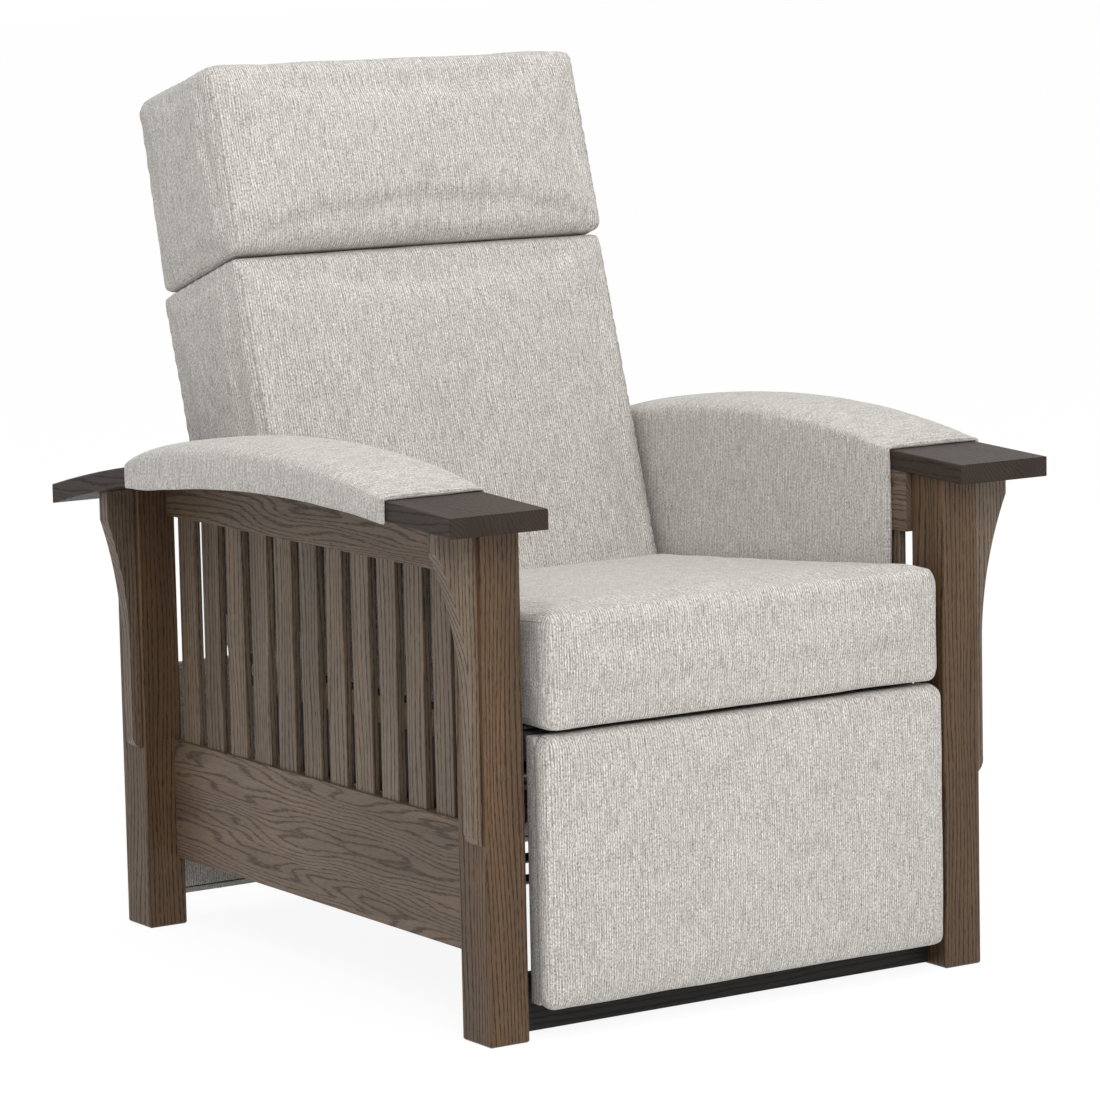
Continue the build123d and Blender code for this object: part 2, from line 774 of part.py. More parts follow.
def back_station(corners, share, half, setin, crown, radius):
    """Cross-section of a back cushion at a share of its height; setin draws its face back."""
    front = between(corners[0], corners[1], share)
    rear = between(corners[3], corners[2], share)
    split = between(front, rear, cushion_depth_share)
    depth = math.dist(front, split)
    direction = (0, (front[0] - split[0]) / depth, (front[1] - split[1]) / depth)
    normal = Vector(1, 0, 0).cross(Vector(*direction))
    plane = Plane(origin=(0, split[0], split[1]), x_dir=(1, 0, 0), z_dir=normal)
    return crowned_section(plane, half - setin, 0, depth - setin, radius, crown)


# Rounding of a back cushion: shares of its height, and how far in its skin is there,
# and shares of the full bulge
back_height_shares = (0.0, 0.035, 0.12, 0.35, 0.65, 0.88, 0.97, 1.0)
back_setin_shares = (0.6, 0.18, 0.0, 0.0, 0.0, 0.0, 0.12, 0.4)
back_bulge_shares = (0.6, 0.85, 1.0, 1.0, 1.0, 1.0, 0.9, 0.7)
# Stations in each rounded end
end_station_count = 3


def back_section_cushion(corners, bulge):
    """Front cushion of one back section: crowned face, round edges, drawn in at its ends."""
    sections = []
    half = back_width / 2
    for share, setin, swell in zip(back_height_shares, back_setin_shares, back_bulge_shares):
        sections.append(back_station(corners, share, half, setin * back_corner_radius / 2,
                                     bulge * swell, back_corner_radius))
    return loft_rounded(sections, end_station_count)


def side_profile(corners, front_share, rear_share, margin):
    """Side profile of a slice of a back section, drawn in by a margin top and bottom."""
    low_front = between(corners[0], corners[3], front_share)
    low_rear = between(corners[0], corners[3], rear_share)
    high_front = between(corners[1], corners[2], front_share)
    high_rear = between(corners[1], corners[2], rear_share)
    length = math.dist(low_front, high_front)
    inset = margin / length
    return outline(between(low_front, high_front, inset), between(low_rear, high_rear, inset),
                   between(high_rear, low_rear, inset), between(high_front, low_front, inset))


def back_section_cover(corners, thickness):
    """Outside cover of one back section: a fabric shell, open towards the cushion."""
    half = back_width / 2
    wall_share = cover_wall / thickness
    shell = slab(side_profile(corners, cushion_depth_share, 1, 0), -half, 2 * half)
    rear_edges = shell.edges().filter_by(Axis.X).sort_by(Axis.Y)[-2:]
    shell = fillet(rear_edges, cover_wall)
    hollow = slab(side_profile(corners, cushion_depth_share - wall_share, 1 - wall_share, cover_wall),
                  -half + cover_wall, 2 * (half - cover_wall))
    return shell - hollow


def back_bolt_places():
    """Bolts of the back bracket, as (along, depth) on the lower back."""
    depth = back_thickness * cushion_depth_share + webbing_thickness + seat_gap + stile_depth / 2
    step = bracket_rise / 4
    return [(step * number - back_drop / 2, depth) for number in (1, 2, 3)]


def back_cover():
    """Outside cover of the lower back, with holes for the bracket bolts."""
    shell = back_section_cover(back_corners, back_thickness)
    half = back_width / 2
    for along, depth in back_bolt_places():
        y, z = back_point(along, depth)
        shell -= rod(y, z, bolt_radius + pin_clearance, -half, half)
    return shell


def leaning_block(x0, x1, along0, along1, depth0, depth1):
    """A block set out on the lower back's leaning face."""
    return slab(outline(back_point(along0, depth0), back_point(along1, depth0), back_point(along1, depth1),
                        back_point(along0, depth1)), x0, x1 - x0)


def back_frame_depth():
    """Depth of the front of the back frame, behind the webbing."""
    return back_thickness * cushion_depth_share + webbing_thickness + 2 * seat_gap


def back_stiles():
    """Upright members of the back frame, drilled for the bracket bolts."""
    outer = back_width / 2 - cover_wall - wood_gap
    made = []
    for side, sign in sides:
        stile = leaning_block(outer - stile_width, outer, -back_drop + cover_wall + webbing_width / 4,
                              back_rise - cover_wall - webbing_width / 4,
                              back_frame_depth(), back_frame_depth() + stile_depth)
        for along, depth in back_bolt_places():
            y, z = back_point(along, depth)
            stile -= rod(y, z, bolt_radius + pin_clearance, outer - stile_width, outer)
        made.append(on_side(stile, sign))
    return group(made)


def back_rails():
    """Bottom, middle and top rails between the stiles."""
    inner = back_width / 2 - cover_wall - wood_gap - stile_width
    first = -back_drop + cover_wall + webbing_width / 4
    last = back_rise - cover_wall - webbing_width / 4 - back_rail_width
    made = []
    for along in (first, (first + last) / 2, last):
        made.append(leaning_block(-inner, inner, along, along + back_rail_width,
                                  back_frame_depth(), back_frame_depth() + stile_depth))
    return group(made)


def back_webbing():
    """Cross straps on the front of the back frame."""
    outer = back_width / 2 - cover_wall - wood_gap
    span = back_drop + back_rise
    made = []
    for number in range(back_strap_count):
        along = -back_drop + span * (number + 1) / (back_strap_count + 1)
        made.append(leaning_block(-outer, outer, along - webbing_width / 2, along + webbing_width / 2,
                                  back_frame_depth() - seat_gap - webbing_thickness, back_frame_depth() - seat_gap))
    return group(made)


def head_board():
    """Plywood board inside the head cover."""
    start = cushion_depth_share + seat_gap / head_thickness
    stop = start + head_board_thickness / head_thickness
    profile = side_profile(head_corners, start, stop, cover_wall + seat_gap)
    half = back_width / 2 - cover_wall - wood_gap
    return slab(profile, -half, 2 * half)


def back_bracket(sign):
    """Steel bracket on the side of the back frame, with the hinge pin at its foot."""
    pivot = (front_y + pivot_setback, pivot_height)
    x0 = bracket_outer - plate_thickness
    bolts = [back_point(along, depth) for along, depth in back_bolt_places()]
    bar = slab(capsule(pivot, bolts[0], bracket_width / 2), x0, plate_thickness)
    bar += slab(capsule(bolts[0], bolts[-1], bracket_width / 3), x0, plate_thickness)
    for place in bolts:
        bar -= rod(place[0], place[1], bolt_radius + pin_clearance, x0, bracket_outer)
    bar += rod(pivot[0], pivot[1], pivot_radius, bracket_outer, plate_outer + plate_gap / 2)
    return on_side(bar, sign)


def hinge_washers():
    """Retaining washers on the ends of the hinge pins."""
    made = []
    for side, sign in sides:
        x0 = plate_outer + seat_gap
        y = front_y + pivot_setback
        ring = rod(y, pivot_height, pivot_head_radius, x0, plate_outer + plate_gap / 2)
        ring -= rod(y, pivot_height, pivot_radius + pin_clearance, x0, plate_outer + plate_gap / 2)
        made.append(on_side(ring, sign))
    return group(made)


def back_bolts():
    """Bolts from the brackets through the cover into the stiles."""
    made = []
    for side, sign in sides:
        for along, depth in back_bolt_places():
            y, z = back_point(along, depth)
            head = rod(y, z, bolt_head_radius, bracket_outer, bracket_outer + bolt_head_height)
            shank = rod(y, z, bolt_radius, back_width / 2 - cover_wall - bolt_grip, bracket_outer)
            made.append(on_side(head + shank, sign))
    return group(made)


# Footrest pad rounding: shares of its height, and how far in its skin is there
foot_height_shares = (0.0, 0.03, 0.09, 0.3, 0.7, 0.91, 0.97, 1.0)
foot_setin_shares = (0.75, 0.2, 0.0, 0.0, 0.0, 0.0, 0.2, 0.75)
foot_top = cushion_bottom - footrest_parting
foot_bottom = foot_top - footrest_height
board_front = front_y - footrest_reach + footrest_pad_thickness


def footrest_pad():
    """Padded front of the footrest: gently crowned, with round edges all round."""
    sections = []
    for share, setin in zip(foot_height_shares, foot_setin_shares):
        plane = Plane(origin=(0, board_front, foot_bottom + footrest_height * share), x_dir=(1, 0, 0),
                      z_dir=(0, 0, -1))
        inset = setin * footrest_corner_radius
        sections.append(crowned_section(plane, footrest_width / 2 - inset / 2, 0,
                                        footrest_pad_thickness - footrest_crown - inset,
                                        footrest_corner_radius, footrest_crown))
    return loft_rounded(sections, end_station_count)


def footrest_board():
    """Plywood board behind the pad."""
    half = footrest_width / 2 - board_inset
    return block(-half, half, board_front, board_front + board_thickness, foot_bottom + board_inset,
                 foot_top - board_inset)


def footrest_bracket(sign):
    """Angle bracket from the board to the linkage's foot pivot."""
    y, z = pivots["foot"]
    y0 = board_front + board_thickness
    web = outline((y0, z - 2 * link_width), (y0, z + link_width), (y, z + link_width / 2),
                  (y, z - link_width / 2)) + Pos(y, z) * Circle(link_width / 2)
    bracket = slab(web, foot_plane, link_thickness)
    bracket += block(foot_plane - link_width, foot_plane, y0, y0 + link_thickness / 2, z - 2 * link_width,
                     z + link_width)
    bracket -= rod(y, z, stud_radius + pin_clearance, foot_plane, foot_plane + link_thickness)
    for height in footrest_screw_heights():
        hole = Cylinder(bolt_radius + pin_clearance, 2 * link_thickness, rotation=(90, 0, 0))
        bracket -= Pos(foot_plane - link_width / 2, y0, height) * hole
    return on_side(bracket, sign)


def footrest_screw_heights():
    """Two screws in each bracket's flange."""
    z = pivots["foot"][1]
    return (z - 1.5 * link_width, z + link_width / 2)


def footrest_screws():
    """Screw heads on the bracket flanges."""
    made = []
    y0 = board_front + board_thickness + link_thickness / 2
    for side, sign in sides:
        for height in footrest_screw_heights():
            head = Cylinder(bolt_head_radius, bolt_head_height, rotation=(90, 0, 0))
            shape = Pos(foot_plane - link_width / 2, y0 + bolt_head_height / 2, height) * head
            length = link_thickness / 2
            shank = Cylinder(bolt_radius, length, rotation=(90, 0, 0))
            shape += Pos(foot_plane - link_width / 2, y0 - length / 2, height) * shank
            made.append(on_side(shape, sign))
    return group(made)


def save_frame():
    """The fixed wooden chair with its covers and base steel."""
    for side, sign in sides:
        save(leg(sign, front_y), side + "_front_leg")
        save(leg(sign, rear_y - leg_depth), side + "_rear_leg")
        save(lower_rail(sign), side + "_lower_rail")
        save(upper_rail(sign), side + "_upper_rail")
        save(slats(sign), side + "_slats")
        save(arm(sign), side + "_arm")
        save(corbel(sign, front_y, front_corbel_reach, front_corbel_sweep_bottom, front_corbel_sweep_top),
             side + "_front_corbel")
        save(corbel(sign, rear_y - leg_depth, rear_corbel_reach, rear_corbel_sweep_bottom, rear_corbel_sweep_top),
             side + "_rear_corbel")
        save(arm_cover(sign), side + "_arm_cover")
        save(arm_panel(sign), side + "_arm_panel")
        save(base_track(sign), side + "_base_track")
    save(stretcher(), "front_stretcher")
    save(apron(), "rear_apron")
    save(apron_rail(), "rear_rail")
    save(base_tubes(), "base_tubes")
    save(base_bolts(), "base_bolts")


def save_seat():
    """The seat that slides on the base tracks."""
    for side, sign in sides:
        save(seat_plate(sign), side + "_seat_plate")
    save(group([seat_side_rail(sign) for side, sign in sides]), "seat_side_rails")
    save(seat_cross_rail(front_y + seat_frame_setback), "seat_front_rail")
    save(seat_cross_rail(front_y + seat_frame_setback + seat_frame_length - seat_rail_width), "seat_rear_rail")
    save(glide_blocks(), "glide_blocks")
    save(seat_bolts(), "seat_bolts")
    save(seat_webbing(), "seat_webbing")
    save(seat_decking(), "seat_decking")
    save(seat_cushion(), "seat_cushion")


def save_back():
    """The reclining back with its head section."""
    save(back_section_cushion(back_corners, back_bulge), "back_cushion")
    save(back_section_cushion(head_corners, head_bulge), "head_cushion")
    save(back_cover(), "back_cover")
    save(back_section_cover(head_corners, head_thickness), "head_cover")
    save(back_stiles(), "back_stiles")
    save(back_rails(), "back_rails")
    save(back_webbing(), "back_webbing")
    save(head_board(), "head_board")
    for side, sign in sides:
        save(back_bracket(sign), side + "_back_bracket")
    save(hinge_washers(), "hinge_washers")
    save(back_bolts(), "back_bolts")


def save_footrest():
    """The footrest panel and the scissor linkage that carries it."""
    save(group([rear_link(sign) for side, sign in sides]), "rear_links")
    save(cross_rod(pivots["drive"], drive_radius, plate_outer + plate_gap / 2), "drive_tube")
    save(group([cross_link(sign) for side, sign in sides]), "cross_links")
    save(cross_rod(pivots["guide"], rod_radius, inner_link), "guide_rod")
    save(group([front_link(sign) for side, sign in sides]), "front_links")
    save(cross_rod(pivots["second"], rod_radius, inner_link), "tie_rod")
    save(group([stay_link(sign) for side, sign in sides]), "stay_links")
    save(footrest_pad(), "footrest_pad")
    save(footrest_board(), "footrest_board")
    save(group([footrest_bracket(sign) for side, sign in sides]), "footrest_brackets")
    save(footrest_screws(), "footrest_screws")


save_frame()
save_seat()
save_back()
save_footrest()
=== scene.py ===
import json
import math

import bmesh
import bpy
from mathutils import Matrix, Vector, noise
from mathutils.bvhtree import BVHTree


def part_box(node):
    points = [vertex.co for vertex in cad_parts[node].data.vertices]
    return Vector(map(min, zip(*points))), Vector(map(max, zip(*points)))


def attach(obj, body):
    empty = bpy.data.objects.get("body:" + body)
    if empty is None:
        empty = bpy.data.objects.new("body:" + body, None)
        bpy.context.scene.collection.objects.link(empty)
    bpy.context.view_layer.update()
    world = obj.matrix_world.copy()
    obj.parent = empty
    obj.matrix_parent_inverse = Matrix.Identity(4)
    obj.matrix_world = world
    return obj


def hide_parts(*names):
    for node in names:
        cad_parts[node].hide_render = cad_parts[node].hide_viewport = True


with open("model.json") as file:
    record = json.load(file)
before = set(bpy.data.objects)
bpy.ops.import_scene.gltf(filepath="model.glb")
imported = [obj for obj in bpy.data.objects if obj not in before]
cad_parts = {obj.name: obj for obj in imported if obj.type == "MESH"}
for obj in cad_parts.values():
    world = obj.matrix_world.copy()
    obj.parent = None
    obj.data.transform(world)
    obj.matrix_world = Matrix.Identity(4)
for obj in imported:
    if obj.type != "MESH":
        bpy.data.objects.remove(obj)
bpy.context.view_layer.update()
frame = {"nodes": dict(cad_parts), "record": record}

bl_info = {
    "name": "Reclining armchair",
    "version": (1, 0, 0),
    "blender": (4, 5, 0),
    "location": "3D View > Sidebar > Armchair",
    "description": "Upholstery, timber and steel finishes, and a studio for the packed reclining armchair",
    "category": "Object",
}

# Places of the chair that the soft pieces are set out from, in metres, read from the frame.
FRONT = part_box("left_front_leg")[0].y
SEAT_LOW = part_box("seat_cushion")[0]
BACK_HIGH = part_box("back_cover")[1]
FOOT_LOW, FOOT_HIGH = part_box("footrest_pad")
COVER_LOW, COVER_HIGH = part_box("right_arm_cover")
PANEL_LOW, PANEL_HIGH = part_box("right_arm_panel")
ARM_LOW, ARM_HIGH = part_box("right_arm")
APRON_LOW, APRON_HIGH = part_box("rear_apron")

MM = 0.001
X_AXIS, Y_AXIS, Z_AXIS = (Vector(axis) for axis in ((1, 0, 0), (0, 1, 0), (0, 0, 1)))


# ---- Sizes and colours that a user would change ----

def colour_setting(name, description, default):
    """A colour as an sRGB hex value."""
    return bpy.props.StringProperty(name=name, description=description, default=default)


def length_setting(name, description, millimetres):
    """A length, kept in metres."""
    return bpy.props.FloatProperty(name=name, description=description, default=millimetres * MM, unit="LENGTH")


class ArmchairUpholstery(bpy.types.PropertyGroup):
    cloth: colour_setting("Cloth", "Main colour of the woven cloth", "#D1CEC9")
    pale_thread: colour_setting("Pale thread", "Colour of the raised pale threads", "#E8E6E3")
    dark_thread: colour_setting("Dark thread", "Colour of the sunken dark threads", "#9B958E")
    tan_thread: colour_setting("Tan thread", "Colour of the few tan flecks", "#BBAD97")
    thread_width: length_setting("Thread width", "Width of one drawn thread", 0.95)
    rib_pitch: length_setting("Rib pitch", "Distance between two drawn ribs of the weave", 3.3)
    edge_radius: length_setting("Edge radius", "Rounding of the cushions' edges", 13)
    tight_radius: length_setting("Tight radius", "Rounding of the edges that are sewn or pulled tight", 3)
    seat_crown: length_setting("Seat crown", "How far the seat's top rises in its middle", 9)
    back_crown: length_setting("Back crown", "How far the lower back's face swells", 8)
    head_crown: length_setting("Head crown", "How far the head section's face swells", 15)
    foot_crown: length_setting("Footrest crown", "How far the footrest's face swells", 6)
    voxel: length_setting("Cloth mesh", "Face size of the simulated cloth", 6.5)


class ArmchairTimber(bpy.types.PropertyGroup):
    # The legs' late wood is partly painted shade: the oak darkened by about an eighth for the shade on the
    # legs under the arms and at the rear.
    leg_wood_with_painted_shade: colour_setting("Leg late wood", "Smooth late wood of the legs, darkened as painted shade", "#604933")
    rail_light: colour_setting("Rail late wood", "Smooth late wood of the side rails", "#6F5D4D")
    slat_light: colour_setting("Slat late wood", "Smooth late wood of the slats and brackets", "#756555")
    side_dark: colour_setting("Early wood", "Porous early wood of the sides", "#21160F")
    arm_light: colour_setting("Arm late wood", "Smooth late wood of the darker arm tops", "#33261D")
    arm_dark: colour_setting("Arm early wood", "Porous early wood of the arm tops", "#1C140E")
    # The low rails' near-black late and early wood is painted shade: the same oak darkened for the shade that
    # the low rails sit in.
    low_rail_late_wood_painted_shade: colour_setting("Low rail late wood", "Late wood of the low rails, near black as painted shade", "#1D1816")
    low_rail_early_wood_painted_shade: colour_setting("Low rail early wood", "Early wood of the low rails, near black as painted shade", "#110E0D")
    pore_width: length_setting("Pore width", "Width of one open pore", 0.8)
    pore_length: length_setting("Pore length", "Length of one open pore", 12)
    ring_spacing: length_setting("Ring spacing", "Spacing of the growth rings across a board", 4.4)


class ArmchairStudio(bpy.types.PropertyGroup):
    floor_colour: colour_setting("Floor", "Colour of the pale floor", "#F6F6F6")
    sky: bpy.props.FloatProperty(
        name="Even light", description="Strength of the even light from all round", default=0.58, min=0)
    key: bpy.props.FloatProperty(
        name="Key light", description="Power of the large soft light", default=66, subtype="POWER")


# ---- Small helpers ----

def linear(hex_value):
    """An sRGB hex value as a linear RGBA colour."""
    channels = [int(hex_value[i:i + 2], 16) / 255 for i in (1, 3, 5)]
    return [c / 12.92 if c <= 0.04045 else ((c + 0.055) / 1.055) ** 2.4 for c in channels] + [1]


def feed(node, inputs):
    """Give a node its inputs, each one a socket to link from or the value that it keeps."""
    for key, value in inputs.items():
        if isinstance(value, bpy.types.NodeSocket):
            node.id_data.links.new(value, node.inputs[key])
        else:
            node.inputs[key].default_value = value


def add(tree, kind, inputs=None, stops=(), **settings):
    """Add a node with its settings and inputs. Stops fill a colour ramp."""
    node = tree.nodes.new(kind)
    for name, value in settings.items():
        setattr(node, name, value)
    feed(node, inputs or {})
    if stops:
        elements = node.color_ramp.elements
        while len(elements) < len(stops):
            elements.new(0.5)
        for element, (place, colour) in zip(elements, stops):
            element.position = place
            element.color = colour
    return node


def new_material(name):
    """An empty node material with its Principled shader."""
    material = bpy.data.materials.new(name)
    material.use_nodes = True
    tree = material.node_tree
    return material, tree, tree.nodes["Principled BSDF"]


def grey(value):
    """A grey of that linear level, as a colour."""
    return [value, value, value, 1]


# ---- Materials ----

def woven_cloth(settings):
    """Heathered woven upholstery, like wool and linen: fine upright ribs of slubby yarn, flecks, no shine."""
    material, tree, shader = new_material("heathered_woven_cloth")
    uv = add(tree, "ShaderNodeUVMap", uv_map="cloth").outputs["UV"]
    thread = settings.thread_width
    yarn = {}
    # Each yarn effect is noise stretched over threads: its size across the warp and along it, its detail and
    # its own place. The distortion keeps it from lying in rows.
    for effect, across, along, detail, place in (
            ("warp", thread * 1.4, thread * 22, 1.0, 3.1),
            ("slub", thread * 1.2, thread * 36, 0.0, 33.4),
            ("fleck", thread * 1.4, thread * 2.6, 0.0, 7.7),
            ("weft", thread * 1.4, thread * 1.2, 0.0, 12.3),
            ("tan", thread * 1.4, thread * 2.8, 0.0, 21.9),
            ("cloud", 0.09, 0.14, 1.0, 5.5)):
        laid = add(tree, "ShaderNodeMapping", {"Vector": uv, "Scale": (1 / across, 1 / along, 1),
                                               "Location": (place, place * 1.7, 0)})
        yarn[effect] = add(tree, "ShaderNodeTexNoise", {
            "Vector": laid.outputs["Vector"], "Scale": 1.0, "Detail": detail, "Roughness": 0.55,
            "Distortion": 0.7}, noise_dimensions="2D").outputs["Fac"]

    # The real ribs lie about 1 mm apart, too fine to show, so they are drawn at the rib pitch.
    across = add(tree, "ShaderNodeSeparateXYZ", {"Vector": uv}).outputs["X"]
    turns = add(tree, "ShaderNodeMath", {0: across, 1: 2 * math.pi / settings.rib_pitch},
                operation="MULTIPLY")
    drift = add(tree, "ShaderNodeMath", {0: yarn["slub"], 1: 1.2}, operation="MULTIPLY")
    phase = add(tree, "ShaderNodeMath", {0: turns.outputs[0], 1: drift.outputs[0]}, operation="ADD")
    rib = add(tree, "ShaderNodeMath", {0: phase.outputs[0]}, operation="SINE").outputs[0]
    ribs = add(tree, "ShaderNodeMapRange", {
        "Value": rib, "From Min": -1.0, "From Max": 1.0, "To Min": 0.74, "To Max": 1.13}).outputs[0]

    base = add(tree, "ShaderNodeValToRGB", {"Fac": yarn["warp"]}, (
        (0.12, linear(settings.dark_thread)), (0.5, linear(settings.cloth)),
        (0.88, linear(settings.pale_thread))))
    tan = add(tree, "ShaderNodeValToRGB", {"Fac": yarn["tan"]}, ((0.61, grey(0)), (0.71, grey(0.5))))
    colour = add(tree, "ShaderNodeMix", {0: tan.outputs["Color"], 6: base.outputs["Color"],
                                         7: linear(settings.tan_thread)}, data_type="RGBA").outputs[2]
    tones = (("slub", ((0.30, grey(0.94)), (0.5, grey(1.0)), (0.70, grey(1.04)))),
             ("fleck", ((0.28, grey(0.62)), (0.5, grey(1.0)), (0.74, grey(1.17)))),
             ("weft", ((0.30, grey(0.93)), (0.5, grey(1.0)), (0.70, grey(1.04)))),
             ("cloud", ((0.3, grey(0.98)), (0.7, grey(1.02)))))
    layers = [add(tree, "ShaderNodeValToRGB", {"Fac": yarn[effect]}, stops).outputs["Color"]
              for effect, stops in tones]
    for layer in layers + [ribs]:
        colour = add(tree, "ShaderNodeMix", {0: 1.0, 6: colour, 7: layer}, data_type="RGBA",
                     blend_type="MULTIPLY").outputs[2]
    height = add(tree, "ShaderNodeMath", {0: yarn["fleck"], 1: yarn["warp"]}, operation="ADD").outputs[0]
    height = add(tree, "ShaderNodeMath", {0: height, 1: ribs}, operation="ADD").outputs[0]
    bump = add(tree, "ShaderNodeBump", {"Height": height, "Strength": 0.5, "Distance": 0.0008})
    feed(shader, {"Base Color": colour, "Normal": bump.outputs["Normal"], "Roughness": 0.92,
                  "Specular IOR Level": 0.25, "Sheen Weight": 0.12, "Sheen Roughness": 0.5})
    return material


def stained_oak(name, settings, grain, light, dark, roughness, wander, line, soft, strength):
    """Open-grained oak in a dark wiped stain under satin lacquer: ragged dark pore lines in smooth wood."""
    material, tree, shader = new_material(name)
    coords = add(tree, "ShaderNodeTexCoord").outputs["Object"]
    figure = {}
    # Each effect is noise with its long side on the grain: its size across and along it, and its detail.
    for effect, across, along, detail in (
            ("sway", 0.06, 0.45, 2.5),
            ("pores", settings.pore_width, settings.pore_length, 2.0),
            ("fibre", settings.pore_width * 0.7, settings.pore_length * 4.5, 2.0),
            ("drift", 0.05, 0.5, 1.0)):
        laid = add(tree, "ShaderNodeMapping", {
            "Vector": coords, "Scale": [1 / along if axis == grain else 1 / across for axis in "XYZ"]})
        figure[effect] = add(tree, "ShaderNodeTexNoise", {
            "Vector": laid.outputs["Vector"], "Scale": 1.0, "Detail": detail}).outputs["Fac"]

    # Growth rings: slanting layers across the board, swayed along the grain.
    parts = add(tree, "ShaderNodeSeparateXYZ", {"Vector": coords}).outputs
    sides = [parts[axis] for axis in "XYZ" if axis != grain]
    rings = add(tree, "ShaderNodeMath", {0: figure["sway"], 1: wander}, operation="MULTIPLY").outputs[0]
    for side, tilt in zip(sides, (0.82, 0.57)):
        layer = add(tree, "ShaderNodeMath", {0: side, 1: tilt / settings.ring_spacing}, operation="MULTIPLY")
        rings = add(tree, "ShaderNodeMath", {0: rings, 1: layer.outputs[0]}, operation="ADD").outputs[0]
    turns = add(tree, "ShaderNodeMath", {0: rings, 1: 2 * math.pi}, operation="MULTIPLY").outputs[0]
    wave = add(tree, "ShaderNodeMath", {0: turns}, operation="SINE").outputs[0]
    calm = add(tree, "ShaderNodeMath", {0: wave, 1: 0.25}, operation="MULTIPLY").outputs[0]
    rough_edge = add(tree, "ShaderNodeMath", {0: figure["pores"], 1: 0.75}, operation="MULTIPLY").outputs[0]
    ragged = add(tree, "ShaderNodeMath", {0: calm, 1: rough_edge}, operation="ADD").outputs[0]
    band = add(tree, "ShaderNodeValToRGB", {"Fac": ragged}, ((line - soft, grey(strength)), (line, grey(0))))
    loose = add(tree, "ShaderNodeValToRGB", {"Fac": figure["pores"]}, (
        (0.30, grey(0.8 * strength)), (0.42, grey(0))))
    pores = add(tree, "ShaderNodeMath", {0: band.outputs["Color"], 1: loose.outputs["Color"]},
                operation="MAXIMUM").outputs[0]
    colour = add(tree, "ShaderNodeMix", {0: pores, 6: linear(light), 7: linear(dark)},
                 data_type="RGBA").outputs[2]
    for effect, low, high in (("fibre", 0.68, 1.26), ("drift", 0.74, 1.18)):
        layer = add(tree, "ShaderNodeValToRGB", {"Fac": figure[effect]}, (
            (0.3, grey(low)), (0.7, grey(high))))
        colour = add(tree, "ShaderNodeMix", {0: 1.0, 6: colour, 7: layer.outputs["Color"]}, data_type="RGBA",
                     blend_type="MULTIPLY").outputs[2]
    rough = add(tree, "ShaderNodeMapRange", {"Value": pores, "To Min": roughness, "To Max": roughness + 0.25})
    depth = add(tree, "ShaderNodeMath", {0: pores, 1: -1.0}, operation="MULTIPLY").outputs[0]
    bump = add(tree, "ShaderNodeBump", {"Height": depth, "Strength": 0.5, "Distance": 0.0005})
    feed(shader, {"Base Color": colour, "Roughness": rough.outputs[0], "Normal": bump.outputs["Normal"],
                  "Specular IOR Level": 0.28, "Coat Weight": 0.05, "Coat Roughness": 0.3})
    return material


def patterned(name, pattern, stops, roughness, relief=None, stretch=(1, 1, 1), kind="ShaderNodeTexNoise",
              **settings):
    """A finish whose colour follows one pattern, and whose relief, given as strength and depth, does too."""
    material, tree, shader = new_material(name)
    coords = add(tree, "ShaderNodeTexCoord").outputs["Object"]
    laid = add(tree, "ShaderNodeMapping", {"Vector": coords, "Scale": stretch}).outputs["Vector"]
    drawn = add(tree, kind, {"Vector": laid, **pattern}, **settings).outputs["Fac"]
    colour = add(tree, "ShaderNodeValToRGB", {"Fac": drawn}, [(at, linear(value)) for at, value in stops])
    feed(shader, {"Base Color": colour.outputs["Color"], "Roughness": roughness})
    if relief:
        strength, depth = relief
        bump = add(tree, "ShaderNodeBump", {"Height": drawn, "Strength": strength, "Distance": depth})
        feed(shader, {"Normal": bump.outputs["Normal"]})
    return material, tree, shader, drawn


def raw_wood(name, pale, brown):
    """Planed poplar or birch ply, unfinished: pale, with a faint straight grain of 4 mm by 120 mm."""
    return patterned(name, {"Scale": 1.0, "Detail": 3.0}, ((0.3, brown), (0.6, pale)), 0.7, (0.2, 0.0003),
                     (1 / 0.12, 1 / 0.004, 1 / 0.004))[0]


def enamelled_steel():
    """Pressed steel in black stoving enamel: near black, satin, with a faint orange peel."""
    material, tree, shader = patterned("black_enamelled_steel", {"Scale": 1 / 0.05, "Detail": 3.0},
                                       ((0.35, "#1B1B1C"), (0.75, "#2A2A2B")), 0.38)[:3]
    coords = add(tree, "ShaderNodeTexCoord").outputs["Object"]
    peel = add(tree, "ShaderNodeTexNoise", {"Vector": coords, "Scale": 1 / 0.0025, "Detail": 1.0})
    bump = add(tree, "ShaderNodeBump", {"Height": peel.outputs["Fac"], "Strength": 0.15, "Distance": 0.0002})
    feed(shader, {"Normal": bump.outputs["Normal"]})
    return material


def zinc_steel():
    """Zinc-plated steel fasteners: grey metal with a slight cloudy bloom."""
    material, tree, shader, bloom = patterned(
        "zinc_plated_steel", {"Scale": 1 / 0.004, "Detail": 2.0}, ((0.3, "#8F9190"), (0.7, "#B9BAB6")), 0.28)
    rough = add(tree, "ShaderNodeMapRange", {"Value": bloom, "To Min": 0.28, "To Max": 0.45})
    feed(shader, {"Roughness": rough.outputs[0], "Metallic": 1.0})
    return material


def nylon():
    """Moulded natural nylon glide blocks: ivory, slightly waxy."""
    return patterned("moulded_nylon", {"Scale": 1 / 0.008, "Detail": 2.0},
                     ((0.3, "#D8D3C4"), (0.7, "#E8E4D8")), 0.42)[0]


def strap_webbing():
    """Woven rubber and jute seat webbing: dark straps with a herringbone rib."""
    return patterned("woven_strap_webbing", {"Scale": 1 / 0.006, "Distortion": 1.0},
                     ((0.2, "#242426"), (0.8, "#3C3B3A")), 0.85, (0.4, 0.0006),
                     kind="ShaderNodeTexWave", bands_direction="DIAGONAL")[0]


